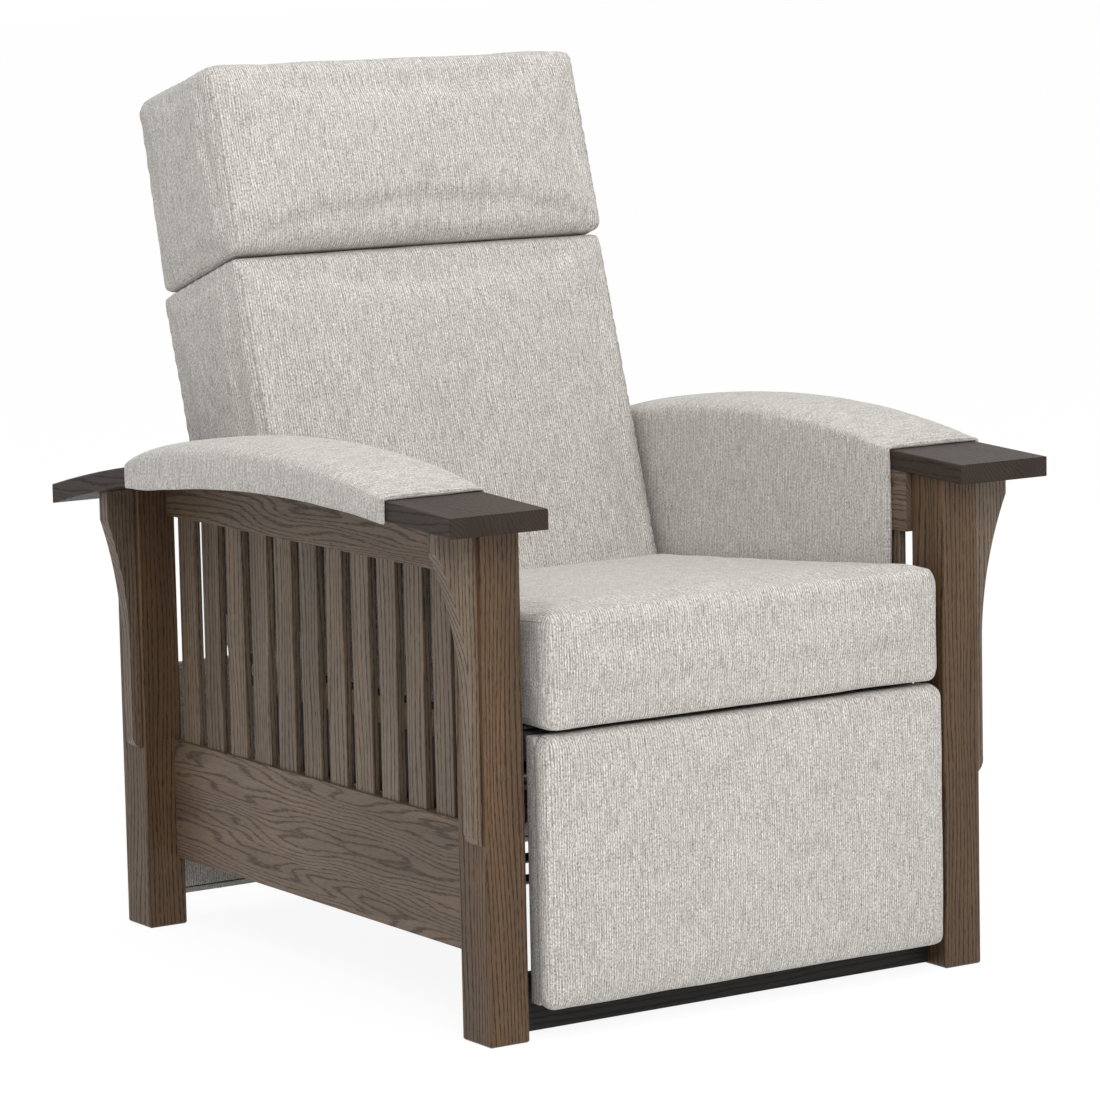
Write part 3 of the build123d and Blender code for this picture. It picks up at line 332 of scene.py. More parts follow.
def needled_felt():
    """Needled grey felt decking: matt, with loose fibres."""
    return patterned("needled_felt", {"Scale": 1 / 0.003, "Detail": 4.0},
                     ((0.3, "#3A3A3B"), (0.7, "#5A5958")), 0.97, (0.5, 0.0008))[0]


def seam_painted_shade(settings):
    """Sewn seam: the same cloth, darker, as painted shade in the seam's narrow crease."""
    return patterned("seam_with_painted_shade", {"Scale": 1 / 0.004, "Detail": 1.0},
                     ((0.35, settings.dark_thread), (0.65, settings.cloth)), 0.95)[0]


def cloth_material():
    """The cloth is made once and shared by every covered piece."""
    found = bpy.data.materials.get("heathered_woven_cloth")
    return found or woven_cloth(bpy.context.scene.armchair_upholstery)


def seam_material():
    """The seams' material, made once as well."""
    found = bpy.data.materials.get("seam_with_painted_shade")
    return found or seam_painted_shade(bpy.context.scene.armchair_upholstery)


def set_material(piece, material):
    """Give a piece one finish all over."""
    piece.data.materials.clear()
    piece.data.materials.append(material)


def finish_nodes(finishes):
    """Give every CAD node the finish of its slot in the record, where the finish is listed."""
    slots = {entry["node"]: entry["material_slot"] for entry in frame["record"]["subparts"]}
    for node, piece in frame["nodes"].items():
        if slots[node] in finishes:
            set_material(piece, finishes[slots[node]])


# ---- Soft piece making ----

def link_mesh(bm, name):
    """Turn a bmesh into an object of the scene, with its faces turned outwards."""
    bmesh.ops.recalc_face_normals(bm, faces=bm.faces[:])
    mesh = bpy.data.meshes.new(name)
    bm.to_mesh(mesh)
    bm.free()
    piece = bpy.data.objects.new(name, mesh)
    bpy.context.scene.collection.objects.link(piece)
    mesh.polygons.foreach_set("use_smooth", [True] * len(mesh.polygons))
    return piece


def apply_modifiers(piece):
    """Replace a piece's mesh by what its modifiers show."""
    graph = bpy.context.evaluated_depsgraph_get()
    made = bpy.data.meshes.new_from_object(piece.evaluated_get(graph))
    old = piece.data
    piece.modifiers.clear()
    piece.data = made
    bpy.data.meshes.remove(old)
    made.name = piece.name
    made.polygons.foreach_set("use_smooth", [True] * len(made.polygons))


def even_mesh(piece, size):
    """Rebuild the surface from even faces of that size."""
    remesh = piece.modifiers.new("even mesh", "REMESH")
    remesh.mode = "VOXEL"
    remesh.voxel_size = size
    apply_modifiers(piece)


def refine(piece, levels):
    """Divide the faces smoothly, as often as levels says."""
    finer = piece.modifiers.new("finer", "SUBSURF")
    finer.levels = finer.render_levels = levels
    apply_modifiers(piece)


def corner_block(name, corners, radius, tight, tight_edges):
    """A block through eight corners, keyed (x, y, z) by 0 or 1. Edges along a tight key get less radius."""
    bm = bmesh.new()
    bmesh.ops.create_cube(bm, size=1)
    weight = bm.edges.layers.float.new("bevel_weight_edge")
    keys = {vert: tuple(int(c > 0) for c in vert.co) for vert in bm.verts}
    for edge in bm.edges:
        ends = [keys[vert] for vert in edge.verts]
        shared = tuple(a if a == b else None for a, b in zip(*ends))
        edge[weight] = tight / radius if shared in tight_edges else 1.0
    for vert, key in keys.items():
        vert.co = corners[key]
    piece = link_mesh(bm, name)
    rounding = piece.modifiers.new("rounding", "BEVEL")
    rounding.limit_method = "WEIGHT"
    rounding.width = radius
    rounding.segments = 4
    apply_modifiers(piece)
    return piece


def swell(piece, centre, axes, halves, crowns):
    """Move points outwards along each axis by that face's crown, most in the face's middle."""
    for vert in piece.data.vertices:
        offset = vert.co - centre
        shares = [max(-1, min(1, offset.dot(axis) / half)) for axis, half in zip(axes, halves)]
        move = Vector()
        for number, (low, high) in enumerate(crowns):
            others = [1 - shares[k] ** 2 for k in range(3) if k != number]
            share = shares[number]
            reach = high if share > 0 else low
            move += axes[number] * math.copysign(reach * others[0] * others[1] * abs(share) ** 3, share)
        vert.co += move


def inflate(piece, cap, walls):
    """Cloth simulation: pressure fills the piece. No point moves past cap, sinks or goes through walls."""
    start = [vert.co.copy() for vert in piece.data.vertices]
    outward = [vert.normal.copy() for vert in piece.data.vertices]
    sink = 0.8 * MM
    frames = 20
    cloth = piece.modifiers.new("cloth", "CLOTH")
    cloth.settings.quality = 4
    cloth.settings.mass = 0.3
    cloth.settings.tension_stiffness = 20
    cloth.settings.compression_stiffness = 8
    cloth.settings.bending_stiffness = 2.0
    cloth.settings.use_pressure = True
    cloth.settings.uniform_pressure_force = 4.0
    cloth.settings.effector_weights.gravity = 0
    cloth.point_cache.frame_start = 1
    cloth.point_cache.frame_end = frames
    for number in range(1, frames + 1):
        bpy.context.scene.frame_set(number)
    apply_modifiers(piece)
    bpy.context.scene.frame_set(1)
    for vert, begun, normal in zip(piece.data.vertices, start, outward):
        move = vert.co - begun
        inward = -move.dot(normal) - sink
        if inward > 0:
            move += normal * inward
        if move.length > cap:
            move = move.normalized() * cap
        vert.co = begun + move
        for direction, limit in walls:
            past = vert.co.dot(direction) - limit
            if past > 0:
                vert.co -= direction * past


def ease_surface(piece, size, depth, seed):
    """Slight hollows and fullness, as foam under cloth has."""
    normals = [vert.normal.copy() for vert in piece.data.vertices]
    for vert, normal in zip(piece.data.vertices, normals):
        vert.co += normal * depth * noise.noise(vert.co / size + Vector((seed, seed, seed)))


def lay_cloth(piece, across, along, through):
    """UV map in metres: each face reads the weave along the two axes that it lies nearest to."""
    mesh = piece.data
    layer = mesh.uv_layers.new(name="cloth")
    for face in mesh.polygons:
        weights = [abs(face.normal.dot(axis)) for axis in (across, along, through)]
        main = weights.index(max(weights))
        u_axis = through if main == 0 else across
        v_axis = through if main == 1 else along
        shift = main * 0.37
        for loop in face.loop_indices:
            point = mesh.vertices[mesh.loops[loop].vertex_index].co
            layer.data[loop].uv = (point.dot(u_axis) + shift, point.dot(v_axis) + shift)


def box_cushion(name, corners, radius, axes, crowns, cap, walls, seed, tight_edges=(), core=0):
    """A cushion: a rounded block, crowned, filled by simulation and smoothed. Its sides stay outside core."""
    settings = bpy.context.scene.armchair_upholstery
    piece = corner_block(name, corners, radius, settings.tight_radius, tight_edges)
    even_mesh(piece, settings.voxel)
    points = list(corners.values())
    centre = sum(points, Vector()) / 8
    halves = [max(abs((p - centre).dot(axis)) for p in points) for axis in axes]
    swell(piece, centre, axes, halves, crowns)
    inflate(piece, cap, walls)
    bm = bmesh.new()
    bm.from_mesh(piece.data)
    for turn in range(2):
        bmesh.ops.smooth_vert(
            bm, verts=bm.verts[:], factor=0.5, use_axis_x=True, use_axis_y=True, use_axis_z=True)
    bm.to_mesh(piece.data)
    bm.free()
    refine(piece, 1)
    ease_surface(piece, 0.07, 0.9 * MM, seed)
    ease_surface(piece, 0.02, 0.08 * MM, seed + 5)
    sideways, depth = 0.6, 8 * MM
    sides = [vert for vert in piece.data.vertices if abs(vert.normal.x) > sideways]
    for vert in sides:
        if core - depth < abs(vert.co.x) < core:
            vert.co.x = math.copysign(core, vert.co.x)
    lay_cloth(piece, axes[0], axes[2], axes[1])
    return piece


def paired_sheet(name, outer, inner):
    """A closed padded form between two faces, each given as rows of points, with the cloth along the rows."""
    bm = bmesh.new()
    places = {}
    for rows, shift in ((outer, 0), (inner, 5 * MM)):
        grid = bmesh.ops.create_grid(
            bm, x_segments=len(rows[0]) - 1, y_segments=len(rows) - 1, size=1)["verts"]
        wrap = [0.0]
        middle = outer[len(outer) // 2]
        for first, second in zip(middle, middle[1:]):
            wrap.append(wrap[-1] + (second - first).length)
        points = [(point, distance) for row in rows for point, distance in zip(row, wrap)]
        for vert, (point, distance) in zip(grid, points, strict=True):
            vert.co = point
            places[vert] = (point.y + shift, distance)
    bmesh.ops.bridge_loops(bm, edges=[edge for edge in bm.edges if edge.is_boundary])
    layer = bm.loops.layers.uv.new("cloth")
    for face in bm.faces:
        for loop in face.loops:
            loop[layer].uv = places[loop.vert]
    return link_mesh(bm, name)


def dress(piece, material, body):
    """Give a piece its finish and the body that it rides."""
    set_material(piece, material)
    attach(piece, body)


def sew_seam(name, cushion, route, radius, body):
    """A sewn seam: a thin raised line that follows the cushion's surface near a route."""
    # The seam's finish is darker than the cloth: painted shade in the seam's crease.
    material = seam_material()
    mesh = cushion.data
    tree = BVHTree.FromPolygons([v.co for v in mesh.vertices], [tuple(p.vertices) for p in mesh.polygons])
    points = []
    spacing = 5 * MM
    for start, end in zip(route, route[1:]):
        steps = max(2, int((end - start).length / spacing))
        for step in range(steps + (end == route[-1])):
            place, normal = tree.find_nearest(start.lerp(end, step / steps))[:2]
            points.append(place - normal * radius * 0.1)
    curve = bpy.data.curves.new(name, "CURVE")
    curve.dimensions = "3D"
    curve.bevel_depth = radius
    curve.bevel_resolution = 2
    curve.use_fill_caps = True
    line = curve.splines.new("POLY")
    line.points.add(len(points) - 1)
    for point, place in zip(line.points, points):
        point.co = (*place, 1)
    rope = bpy.data.objects.new(name + "_line", curve)
    bpy.context.scene.collection.objects.link(rope)
    graph = bpy.context.evaluated_depsgraph_get()
    made = bpy.data.meshes.new_from_object(rope.evaluated_get(graph))
    bpy.data.objects.remove(rope)
    seam = bpy.data.objects.new(name, made)
    bpy.context.scene.collection.objects.link(seam)
    made.polygons.foreach_set("use_smooth", [True] * len(made.polygons))
    dress(seam, material, body)


def finish_soft(piece, body, fill, *nodes):
    """Give a soft piece its cloth and its body, and hide the nodes that it stands for."""
    dress(piece, cloth_material(), body)
    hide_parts(*nodes)


def turned(angle):
    """Unit vectors up and back along a face that leans back by an angle in degrees."""
    lean = math.radians(angle)
    return Vector((0, math.sin(lean), math.cos(lean))), Vector((0, math.cos(lean), -math.sin(lean)))


# Profiles of the back's two sections, with their leans and places as matched to the photograph.
BACK_UP, BACK_REAR = turned(16.6)
BACK_HALF = BACK_HIGH.x + 4 * MM
SEAT_REFERENCE = Vector((0, FRONT + 553 * MM, 446 * MM))
LOWER_BACK = {
    "front_bottom": SEAT_REFERENCE - BACK_UP * 80 * MM,
    "front_top": SEAT_REFERENCE + BACK_UP * 430 * MM,
}
PARTING_UP, PARTING_REAR = turned(18.5)
LOWER_BACK["rear_bottom"] = LOWER_BACK["front_bottom"] + BACK_REAR * 196 * MM
LOWER_BACK["rear_top"] = LOWER_BACK["front_top"] + PARTING_REAR * 205 * MM
HEAD_UP, HEAD_REAR = turned(15.5)
HEAD = {
    "front_bottom": LOWER_BACK["front_top"] - PARTING_REAR * 9 * MM + Vector((0, 0, 0.8 * MM)),
    "front_top": Vector((0, FRONT + 736 * MM, 1091 * MM)),
    "rear_bottom": LOWER_BACK["rear_top"] + Vector((0, 0, 0.8 * MM)),
}
HEAD["rear_top"] = HEAD["front_top"] + HEAD_REAR * 191 * MM


def profile_corners(profile, half):
    """Eight corners of a block with that side profile and half width."""
    names = {(0, 0): "front_bottom", (0, 1): "front_top", (1, 0): "rear_bottom", (1, 1): "rear_top"}
    return {(x, y, z): profile[names[(y, z)]] + Vector(((2 * x - 1) * half, 0, 0))
            for x in (0, 1) for y in (0, 1) for z in (0, 1)}


# ---- Operators ----

class ARMCHAIR_OT_timber(bpy.types.Operator):
    """Stained oak for the legs, arms, rails, slats and brackets, raw wood for the inner frame"""
    bl_idname = "armchair.timber"
    bl_label = "Timber"

    def execute(self, context):
        settings = context.scene.armchair_timber
        dark = settings.side_dark
        # Each oak: grain, late and early wood, roughness, sway of its rings, then its pore lines' place,
        # softness and strength.
        upright, lengthwise, crosswise, arms, slats = (
            stained_oak("stained_oak_" + name, settings, *look) for name, *look in (
                # The legs' late wood is partly painted shade.
                ("upright", "Z", settings.leg_wood_with_painted_shade, dark, 0.42, 6.0, 0.27, 0.12, 0.82),
                ("lengthwise", "Y", settings.rail_light, dark, 0.42, 16.0, 0.31, 0.2, 0.66),
                # The low rails' near-black wood is painted shade.
                ("crosswise", "X", settings.low_rail_late_wood_painted_shade, settings.low_rail_early_wood_painted_shade, 0.6, 6.0, 0.3, 0.15, 0.7),
                ("arms", "Y", settings.arm_light, settings.arm_dark, 0.55, 9.0, 0.28, 0.15, 0.7),
                ("slats", "Z", settings.slat_light, dark, 0.42, 6.0, 0.27, 0.12, 0.7)))
        finish_nodes({
            "oak_upright": upright,
            "oak_lengthwise": lengthwise,
            "oak_crosswise": crosswise,
            "frame_hardwood": raw_wood("planed_poplar", "#CDB088", "#A98A62"),
            "plywood": raw_wood("birch_plywood", "#D6BE96", "#B69A70"),
        })
        for side in ("left", "right"):
            set_material(frame["nodes"][side + "_arm"], arms)
            for piece in ("slats", "front_corbel", "rear_corbel"):
                set_material(frame["nodes"][side + "_" + piece], slats)
        return {"FINISHED"}


class ARMCHAIR_OT_mechanism(bpy.types.Operator):
    """Black enamel, zinc, nylon, webbing and felt for the hidden mechanism and seat base"""
    bl_idname = "armchair.mechanism"
    bl_label = "Mechanism"

    def execute(self, context):
        finishes = {
            "black_steel": enamelled_steel(),
            "zinc_steel": zinc_steel(),
            "nylon": nylon(),
            "webbing": strap_webbing(),
            "felt": needled_felt(),
        }
        finish_nodes(finishes)
        # The seat's front rail is given the felt finish so that it shows as a dark line over the footrest: the
        # felt's dark grey stands in as painted shade in the gap.
        set_material(frame["nodes"]["seat_front_rail"], finishes["felt"])
        return {"FINISHED"}


class ARMCHAIR_OT_seat_cushion(bpy.types.Operator):
    """Boxed seat cushion with a full front and a crowned top that falls to the back"""
    bl_idname = "armchair.seat_cushion"
    bl_label = "Seat cushion"

    def execute(self, context):
        settings = context.scene.armchair_upholstery
        half, side_limit = 279.5 * MM, 280.6 * MM
        front, front_limit = FRONT - 23 * MM, FRONT - 29 * MM
        bottom = SEAT_LOW.z + 0.8 * MM
        front_height, rear_height, top_limit = 492 * MM, 447 * MM, 505 * MM
        gap = 2.5 * MM
        face = SEAT_REFERENCE - BACK_REAR * gap
        rear_low = face + BACK_UP * ((bottom - face.z) / BACK_UP.z)
        rear_high = face + BACK_UP * ((rear_height - face.z) / BACK_UP.z)
        profile = {"front_bottom": Vector((0, front, bottom)), "front_top": Vector((0, front, front_height)),
                   "rear_bottom": rear_low, "rear_top": rear_high}
        walls = [(X_AXIS, side_limit), (-X_AXIS, side_limit), (-Z_AXIS, -bottom),
                 (BACK_REAR, BACK_REAR.dot(face)), (-Y_AXIS, -front_limit), (Z_AXIS, top_limit)]
        crowns = ((0, 0), (3 * MM, 0), (0, settings.seat_crown))
        piece = box_cushion("seat_cushion_padding", profile_corners(profile, half), settings.edge_radius,
                            (X_AXIS, Y_AXIS, Z_AXIS), crowns, 6 * MM, walls, 2.0,
                            ((None, 0, 0), (None, 1, 0), (0, None, 0), (1, None, 0)))
        finish_soft(piece, "seat", 0.75, "seat_cushion")
        inset = half - 3 * MM
        for side, name in ((-1, "left"), (1, "right")):
            route = [Vector((side * inset, front + 4 * MM, bottom + 12 * MM)),
                     Vector((side * inset, front + 4 * MM, front_height - 10 * MM)),
                     Vector((side * inset, rear_high.y - 8 * MM, rear_height + 2 * MM))]
            sew_seam("seat_seam_" + name, piece, route, 0.7 * MM, "seat")
        return {"FINISHED"}


class ARMCHAIR_OT_back_cushions(bpy.types.Operator):
    """Lower back and fuller head section, each boxed, with sewn edges"""
    bl_idname = "armchair.back_cushions"
    bl_label = "Back cushions"

    def execute(self, context):
        settings = context.scene.armchair_upholstery
        half = BACK_HALF - 0.5 * MM
        sides = [(X_AXIS, BACK_HALF + 5 * MM), (-X_AXIS, BACK_HALF + 5 * MM)]
        frame_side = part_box("head_board")[1].x + 1.2 * MM
        under = LOWER_BACK["front_top"] + Vector((0, 0, 0.1 * MM))
        over = HEAD["front_bottom"] - Vector((0, 0, 0.1 * MM))
        lower_walls = sides + [(PARTING_UP, PARTING_UP.dot(under)),
                               (-BACK_REAR, -BACK_REAR.dot(SEAT_REFERENCE) + 9.5 * MM),
                               (BACK_REAR, BACK_REAR.dot(LOWER_BACK["rear_bottom"]) + 4 * MM)]
        lower = box_cushion("lower_back_padding", profile_corners(LOWER_BACK, half),
                            settings.edge_radius, (X_AXIS, BACK_REAR, BACK_UP),
                            ((3 * MM, 3 * MM), (settings.back_crown, 0), (0, 0)), 6 * MM, lower_walls, 11.0,
                            ((0, None, 1), (1, None, 1), (None, 1, 1), (0, 1, None), (1, 1, None)),
                            frame_side)
        finish_soft(lower, "back", 0.7, "back_cushion", "back_cover")
        head_walls = sides + [(-PARTING_UP, -PARTING_UP.dot(over)),
                              (HEAD_REAR, HEAD_REAR.dot(HEAD["rear_top"]) + 1 * MM),
                              (Z_AXIS, HEAD["front_top"].z + 5 * MM)]
        head = box_cushion("head_padding", profile_corners(HEAD, half), settings.edge_radius,
                           (X_AXIS, HEAD_REAR, HEAD_UP), ((0, 0), (settings.head_crown, 0), (0, 3 * MM)),
                           7 * MM, head_walls, 17.0,
                           ((0, None, 0), (1, None, 0), (None, 1, 0), (0, 1, None), (1, 1, None)), frame_side)
        finish_soft(head, "back", 0.85, "head_cushion", "head_cover")
        for name, piece, profile in (("lower_back", lower, LOWER_BACK), ("head", head, HEAD)):
            for side, label in ((-1, "left"), (1, "right")):
                out = X_AXIS * side * (BACK_HALF - 2 * MM)
                for end, start_share in (("front", 0.05), ("rear", 0.03)):
                    bottom, top = profile[end + "_bottom"], profile[end + "_top"]
                    route = [bottom.lerp(top, start_share) + out, top.lerp(bottom, 0.04) + out]
                    sew_seam(name + "_" + end + "_seam_" + label, piece, route, 0.7 * MM, "back")
        return {"FINISHED"}


class ARMCHAIR_OT_footrest_cushion(bpy.types.Operator):
    """Padded front of the footrest panel, and the cloth drawn round its board"""
    bl_idname = "armchair.footrest_cushion"
    bl_label = "Footrest cushion"

    def execute(self, context):
        settings = context.scene.armchair_upholstery
        low, high = FOOT_LOW, FOOT_HIGH
        half, side_limit = 285.5 * MM, 287 * MM
        front, rear = low.y + 4 * MM, high.y - 0.4 * MM
        bottom, top = low.z + 0.5 * MM, high.z - 0.3 * MM
        profile = {"front_bottom": Vector((0, front, bottom)), "front_top": Vector((0, front, top)),
                   "rear_bottom": Vector((0, rear, bottom)), "rear_top": Vector((0, rear, top))}
        walls = [(Y_AXIS, high.y - 0.3 * MM), (Z_AXIS, high.z + 0.3 * MM), (-Z_AXIS, -low.z + 2 * MM),
                 (X_AXIS, side_limit), (-X_AXIS, side_limit)]
        piece = box_cushion("footrest_padding", profile_corners(profile, half), settings.edge_radius,
                            (X_AXIS, Y_AXIS, Z_AXIS), ((0, 0), (settings.foot_crown, 0), (0, 0)), 4 * MM,
                            walls, 23.0, ((0, 1, None), (1, 1, None), (None, 1, 0), (None, 1, 1),
                                          (0, None, 0), (1, None, 0)))
        finish_soft(piece, "footrest", 0.7, "footrest_pad")
        self.wrap_board()
        return {"FINISHED"}

    def wrap_board(self):
        """Cloth drawn round the board's edges and fixed on its back."""
        low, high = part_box("footrest_board")
        slack, fold, lap = 1 * MM, 24 * MM, 14 * MM
        bm = bmesh.new()
        bmesh.ops.create_cube(bm, size=1)
        for vert in bm.verts:
            vert.co = [(high if c > 0 else low)[k] + math.copysign(slack, c) for k, c in enumerate(vert.co)]
            vert.co.y += 0 if vert.co.y > high.y else 0.6 * MM
        bm.normal_update()
        front = [face for face in bm.faces if face.normal.y < -0.9]
        back = [face for face in bm.faces if face.normal.y > 0.9]
        bmesh.ops.inset_individual(bm, faces=back, thickness=fold)
        bmesh.ops.inset_individual(bm, faces=front, thickness=lap)
        bmesh.ops.delete(bm, geom=front + back, context="FACES")
        corners = [edge for edge in bm.edges if not edge.is_boundary and edge.calc_face_angle(0) > 1]
        bmesh.ops.bevel(bm, geom=corners, offset=2 * MM, segments=3, profile=0.5, affect="EDGES", material=-1)
        area = sum(face.calc_area() for face in bm.faces)
        piece = link_mesh(bm, "footrest_wrap")
        thick = piece.modifiers.new("cloth thickness", "SOLIDIFY")
        thick.thickness = 0.9 * MM
        thick.offset = -1
        apply_modifiers(piece)
        lay_cloth(piece, X_AXIS, Z_AXIS, Y_AXIS)
        dress(piece, cloth_material(), "footrest")


def arm_section(y):
    """Height of the arm's top and underside at y, from the arm's own bow."""
    middle, crest = -96.5 * MM, 633.5 * MM
    radius, arm_thick = 2426.0 * MM, 23.5 * MM
    centre = crest - radius
    flat_end = FRONT + 91 * MM
    bowed = max(y, flat_end)
    top = centre + math.sqrt(radius ** 2 - (bowed - middle) ** 2)
    under = centre + math.sqrt((radius - arm_thick) ** 2 - (bowed - middle) ** 2)
    return top, under


def cover_rows(side, y, crown, drop, thick):
    """Points of the arm cover's face at y, from the outer lip over the crown and down, and those beneath."""
    top, under = arm_section(y)
    outer = ARM_HIGH.x + 0.4 * MM
    inner = ARM_LOW.x - 0.4 * MM
    panel_face = PANEL_LOW.x + 1.2 * MM
    panel_back = PANEL_HIGH.x - 0.4 * MM
    low = PANEL_LOW.z + 1 * MM
    pairs = [((outer + thick * 0.8, under - drop), (outer, under - drop)),
             ((outer + thick, under), (outer, under)),
             ((outer + thick, (under + top) / 2), (outer, (under + top) / 2))]
    middle = (outer + thick + panel_face) / 2
    reach = (outer + thick - panel_face) / 2
    count = 16
    for step in range(count + 1):
        angle = math.pi * step / count
        share = math.cos(angle)
        across = middle + reach * math.copysign(abs(share) ** 0.72, share)
        lift = (thick + crown) * math.sin(angle) ** 0.62
        pairs.append(((across, top + 1 * MM + lift), (min(max(across, inner), outer), top + 0.4 * MM)))
    for share in (0.97, 0.86, 0.7, 0.5, 0.3, 0.14, 0.03):
        height = low + (top - low) * share
        pairs.append(((panel_face - 0.9 * MM * math.sin(math.pi * share), height),
                      (inner if height > under - 1 * MM else panel_back, height)))
    pairs.append(((panel_face + 1.5 * MM, low - 0.4 * MM), (panel_back, low)))
    return [[Vector((side * point[0], y, point[1])) for point in face] for face in zip(*pairs)]


class ARMCHAIR_OT_arm_covers(bpy.types.Operator):
    """Padded arm covers: one cloth from the outer lip over the crown and down the inner panel"""
    bl_idname = "armchair.arm_covers"
    bl_label = "Arm covers"

    def execute(self, context):
        front = COVER_LOW.y
        rear = COVER_HIGH.y - 8 * MM
        length = rear - front
        full = 22 * MM
        # Each station: its share of the length, how full the crown is there, and the pad's thickness in mm.
        stations = (
            (0, 0, 4.0), (0.003, 0.02, 4.8), (0.014, 0.04, 4.6), (0.019, 0.04, 3.4), (0.024, 0.06, 4.0),
            (0.05, 0.2, 4.2), (0.1, 0.42, 4.4), (0.18, 0.66, 4.4), (0.28, 0.84, 4.4), (0.4, 0.95, 4.4),
            (0.52, 1.0, 4.4), (0.64, 1.0, 4.4), (0.75, 0.97, 4.4), (0.84, 0.9, 4.4), (0.91, 0.8, 4.3),
            (0.955, 0.66, 4.0), (0.98, 0.48, 3.6), (0.994, 0.28, 3.0), (1.0, 0.1, 2.2))
        for side, label in ((-1, "left"), (1, "right")):
            outer, inner = [], []
            for share, crown, thick in stations:
                y = front + length * share
                drop = (3 + 7 * share) * MM if share < 0.9 else (9.3 - 70 * (share - 0.9)) * MM
                face, back = cover_rows(side, y, full * crown, drop, thick * MM)
                outer.append(face)
                inner.append(back)
            piece = paired_sheet("arm_cover_padding_" + label, outer, inner)
            refine(piece, 2)
            ease_surface(piece, 0.06, 0.7 * MM, 31.0 + side)
            finish_soft(piece, "frame", 0.6, label + "_arm_cover", label + "_arm_panel")
            hem = cover_rows(side, front + length * 0.019, full * 0.04, 3 * MM, 3.3 * MM)[0]
            sew_seam("arm_cover_hem_" + label, piece, hem[1:-1], 0.5 * MM, "frame")
        return {"FINISHED"}


class ARMCHAIR_OT_apron(bpy.types.Operator):
    """Cloth covered panel between the rear legs, its cloth turned under the low rail and folded up inside"""
    bl_idname = "armchair.apron"
    bl_label = "Rear apron"

    def execute(self, context):
        low, high = APRON_LOW, APRON_HIGH
        rail_low, rail_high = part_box("rear_rail")
        piece = corner_block("apron_cloth", {
            (x, y, z): Vector(((low.x, high.x)[x], (low.y, high.y)[y], (low.z, high.z)[z]))
            for x in (0, 1) for y in (0, 1) for z in (0, 1)}, 4 * MM, 4 * MM, ())
        even_mesh(piece, 4 * MM)
        # The hem's stitching draws the cloth in along a line.
        hem, hem_half, hem_depth = low.z + 22 * MM, 6 * MM, 1.3 * MM
        normals = [vert.normal.copy() for vert in piece.data.vertices]
        for vert, normal in zip(piece.data.vertices, normals):
            near = abs(vert.co.z - hem)
            if near < hem_half:
                vert.co.y -= normal.y * hem_depth * (1 - near / hem_half)
        ease_surface(piece, 0.09, 0.8 * MM, 41.0)
        lay_cloth(piece, X_AXIS, Z_AXIS, Y_AXIS)
        finish_soft(piece, "frame", 0.3, "rear_apron")

        face = rail_low.y - 0.5 * MM
        under = rail_low.z - 1 * MM
        path = ((low.y + 1 * MM, low.z + 3 * MM), (face + 6 * MM, under - 4 * MM), (face, under + 4 * MM),
                (face, under + 22 * MM), (face - 0.4 * MM, under + 24 * MM), (face, under + 26 * MM),
                (face, under + 52 * MM), (face, rail_high.z - 6 * MM))
        columns = 24
        across = [low.x + (high.x - low.x) * share / columns for share in range(columns + 1)]
        inner = [[Vector((x, y, z + 2 * MM * math.sin(x * 37) * (z - under) / (rail_high.z - under)))
                  for y, z in path] for x in across]
        outer = [[point + Vector((0, -1.6 * MM, 0)) for point in row] for row in inner]
        turn_up = paired_sheet("apron_turn_up", outer, inner)
        refine(turn_up, 2)
        ease_surface(turn_up, 0.03, 0.6 * MM, 47.0)
        turn_up.data.uv_layers.remove(turn_up.data.uv_layers["cloth"])
        lay_cloth(turn_up, X_AXIS, Z_AXIS, Y_AXIS)
        dress(turn_up, cloth_material(), "frame")
        return {"FINISHED"}


def seen_directly(tree):
    """1 on rays that come straight from the camera or by way of gloss or glass, and 0 on the rest."""
    path = add(tree, "ShaderNodeLightPath").outputs
    seen = path["Is Camera Ray"]
    for ray in ("Is Glossy Ray", "Is Transmission Ray"):
        seen = add(tree, "ShaderNodeMath", {0: seen, 1: path[ray]}, operation="MAXIMUM").outputs[0]
    return seen


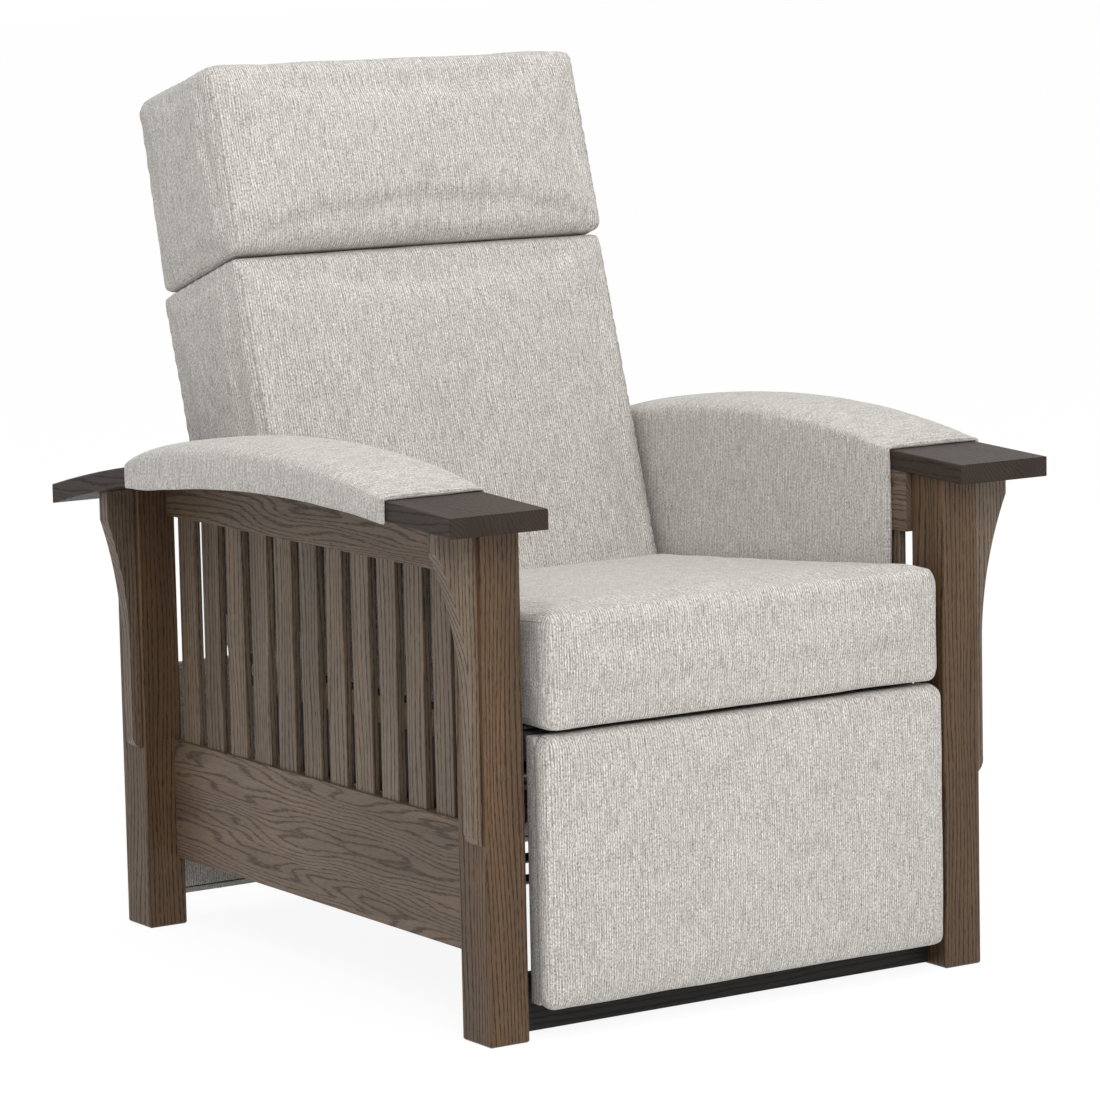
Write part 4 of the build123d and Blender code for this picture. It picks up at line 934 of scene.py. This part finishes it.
class ARMCHAIR_OT_studio(bpy.types.Operator):
    """Pale floor, soft light and the camera of the reference view"""
    bl_idname = "armchair.studio"
    bl_label = "Studio"

    def execute(self, context):
        settings = context.scene.armchair_studio
        scene = context.scene
        floor_reach = 40
        bm = bmesh.new()
        bmesh.ops.create_grid(bm, x_segments=2, y_segments=2, size=floor_reach)
        floor = link_mesh(bm, "studio_floor")
        material, tree, shader = new_material("pale_floor")
        feed(shader, {"Base Color": linear(settings.floor_colour), "Roughness": 0.9,
                      "Specular IOR Level": 0.1})
        # Seen directly, the floor is mostly plain white, with the chair's soft shadow in the rest.
        white_share, white_level = 0.86, 1.06
        share = add(tree, "ShaderNodeMath", {0: seen_directly(tree), 1: white_share}, operation="MULTIPLY")
        white = add(tree, "ShaderNodeEmission", {"Color": grey(1), "Strength": white_level})
        mixed = add(tree, "ShaderNodeMixShader", {
            0: share.outputs[0], 1: shader.outputs[0], 2: white.outputs[0]})
        feed(tree.nodes["Material Output"], {"Surface": mixed.outputs[0]})
        set_material(floor, material)

        world = bpy.data.worlds.new("studio_world")
        scene.world = world
        world.use_nodes = True
        tree = world.node_tree
        level = add(tree, "ShaderNodeMapRange", {
            "Value": seen_directly(tree), "To Min": settings.sky, "To Max": 1.0})
        feed(tree.nodes["Background"], {"Color": grey(1), "Strength": level.outputs[0]})

        # Each lamp: its place in metres, the size of its square, and its power in watts.
        aim = Vector((0, 0, 0.5))
        lamps = (("key", (-1.5, -3.4, 3.0), 2.4, settings.key), ("overhead", (-0.3, -0.6, 4.2), 3.0, 62.0),
                 ("fill", (3.4, -2.4, 1.8), 2.4, 12.0))
        for name, place, size, power in lamps:
            lamp = bpy.data.lights.new("studio_" + name, "AREA")
            lamp.shape = "SQUARE"
            lamp.size = size
            lamp.energy = power
            holder = bpy.data.objects.new("studio_" + name, lamp)
            scene.collection.objects.link(holder)
            holder.location = place
            holder.rotation_euler = (aim - Vector(place)).to_track_quat("-Z", "Y").to_euler()

        # The camera's place, direction, roll and lens were solved from the chair's corners in the photograph.
        place = Vector((-3.1574, -4.8919, 1.2990))
        back_axis = Vector((-0.5395, -0.8307, 0.1374)).normalized()
        roll = math.radians(-1.21)
        scene.view_settings.view_transform = "Standard"
        camera = bpy.data.cameras.new("reference_camera")
        camera.lens = 156.59
        camera.sensor_width = 36
        camera.sensor_fit = "HORIZONTAL"
        camera.clip_end = 100
        holder = bpy.data.objects.new("reference_camera", camera)
        scene.collection.objects.link(holder)
        level_right = Z_AXIS.cross(back_axis).normalized()
        level_up = back_axis.cross(level_right)
        right = level_right * math.cos(roll) + level_up * math.sin(roll)
        up = level_up * math.cos(roll) - level_right * math.sin(roll)
        turn = Matrix((right, up, back_axis)).transposed().to_4x4()
        holder.matrix_world = Matrix.Translation(place) @ turn
        scene.camera = holder
        return {"FINISHED"}


class ARMCHAIR_PT_panel(bpy.types.Panel):
    """Lists the steps that dress the armchair"""
    bl_label = "Armchair"
    bl_idname = "ARMCHAIR_PT_panel"
    bl_space_type = "VIEW_3D"
    bl_region_type = "UI"
    bl_category = "Armchair"

    def draw(self, context):
        layout = self.layout
        for group in (context.scene.armchair_upholstery, context.scene.armchair_timber,
                      context.scene.armchair_studio):
            for name in group.__annotations__:
                layout.prop(group, name)
        for step in STEPS:
            layout.operator(step.bl_idname)


STEPS = (ARMCHAIR_OT_studio, ARMCHAIR_OT_timber, ARMCHAIR_OT_mechanism, ARMCHAIR_OT_seat_cushion,
         ARMCHAIR_OT_back_cushions, ARMCHAIR_OT_footrest_cushion, ARMCHAIR_OT_arm_covers, ARMCHAIR_OT_apron)
GROUPS = (("armchair_upholstery", ArmchairUpholstery), ("armchair_timber", ArmchairTimber),
          ("armchair_studio", ArmchairStudio))


def register():
    for name, group in GROUPS:
        bpy.utils.register_class(group)
        setattr(bpy.types.Scene, name, bpy.props.PointerProperty(type=group))
    for step in STEPS + (ARMCHAIR_PT_panel,):
        bpy.utils.register_class(step)


def unregister():
    for step in (ARMCHAIR_PT_panel,) + STEPS[::-1]:
        bpy.utils.unregister_class(step)
    for name, group in GROUPS[::-1]:
        delattr(bpy.types.Scene, name)
        bpy.utils.unregister_class(group)


def main():
    register()
    for step in STEPS:
        space, name = step.bl_idname.split(".")
        getattr(getattr(bpy.ops, space), name)()
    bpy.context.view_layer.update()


if __name__ == "__main__":
    main()
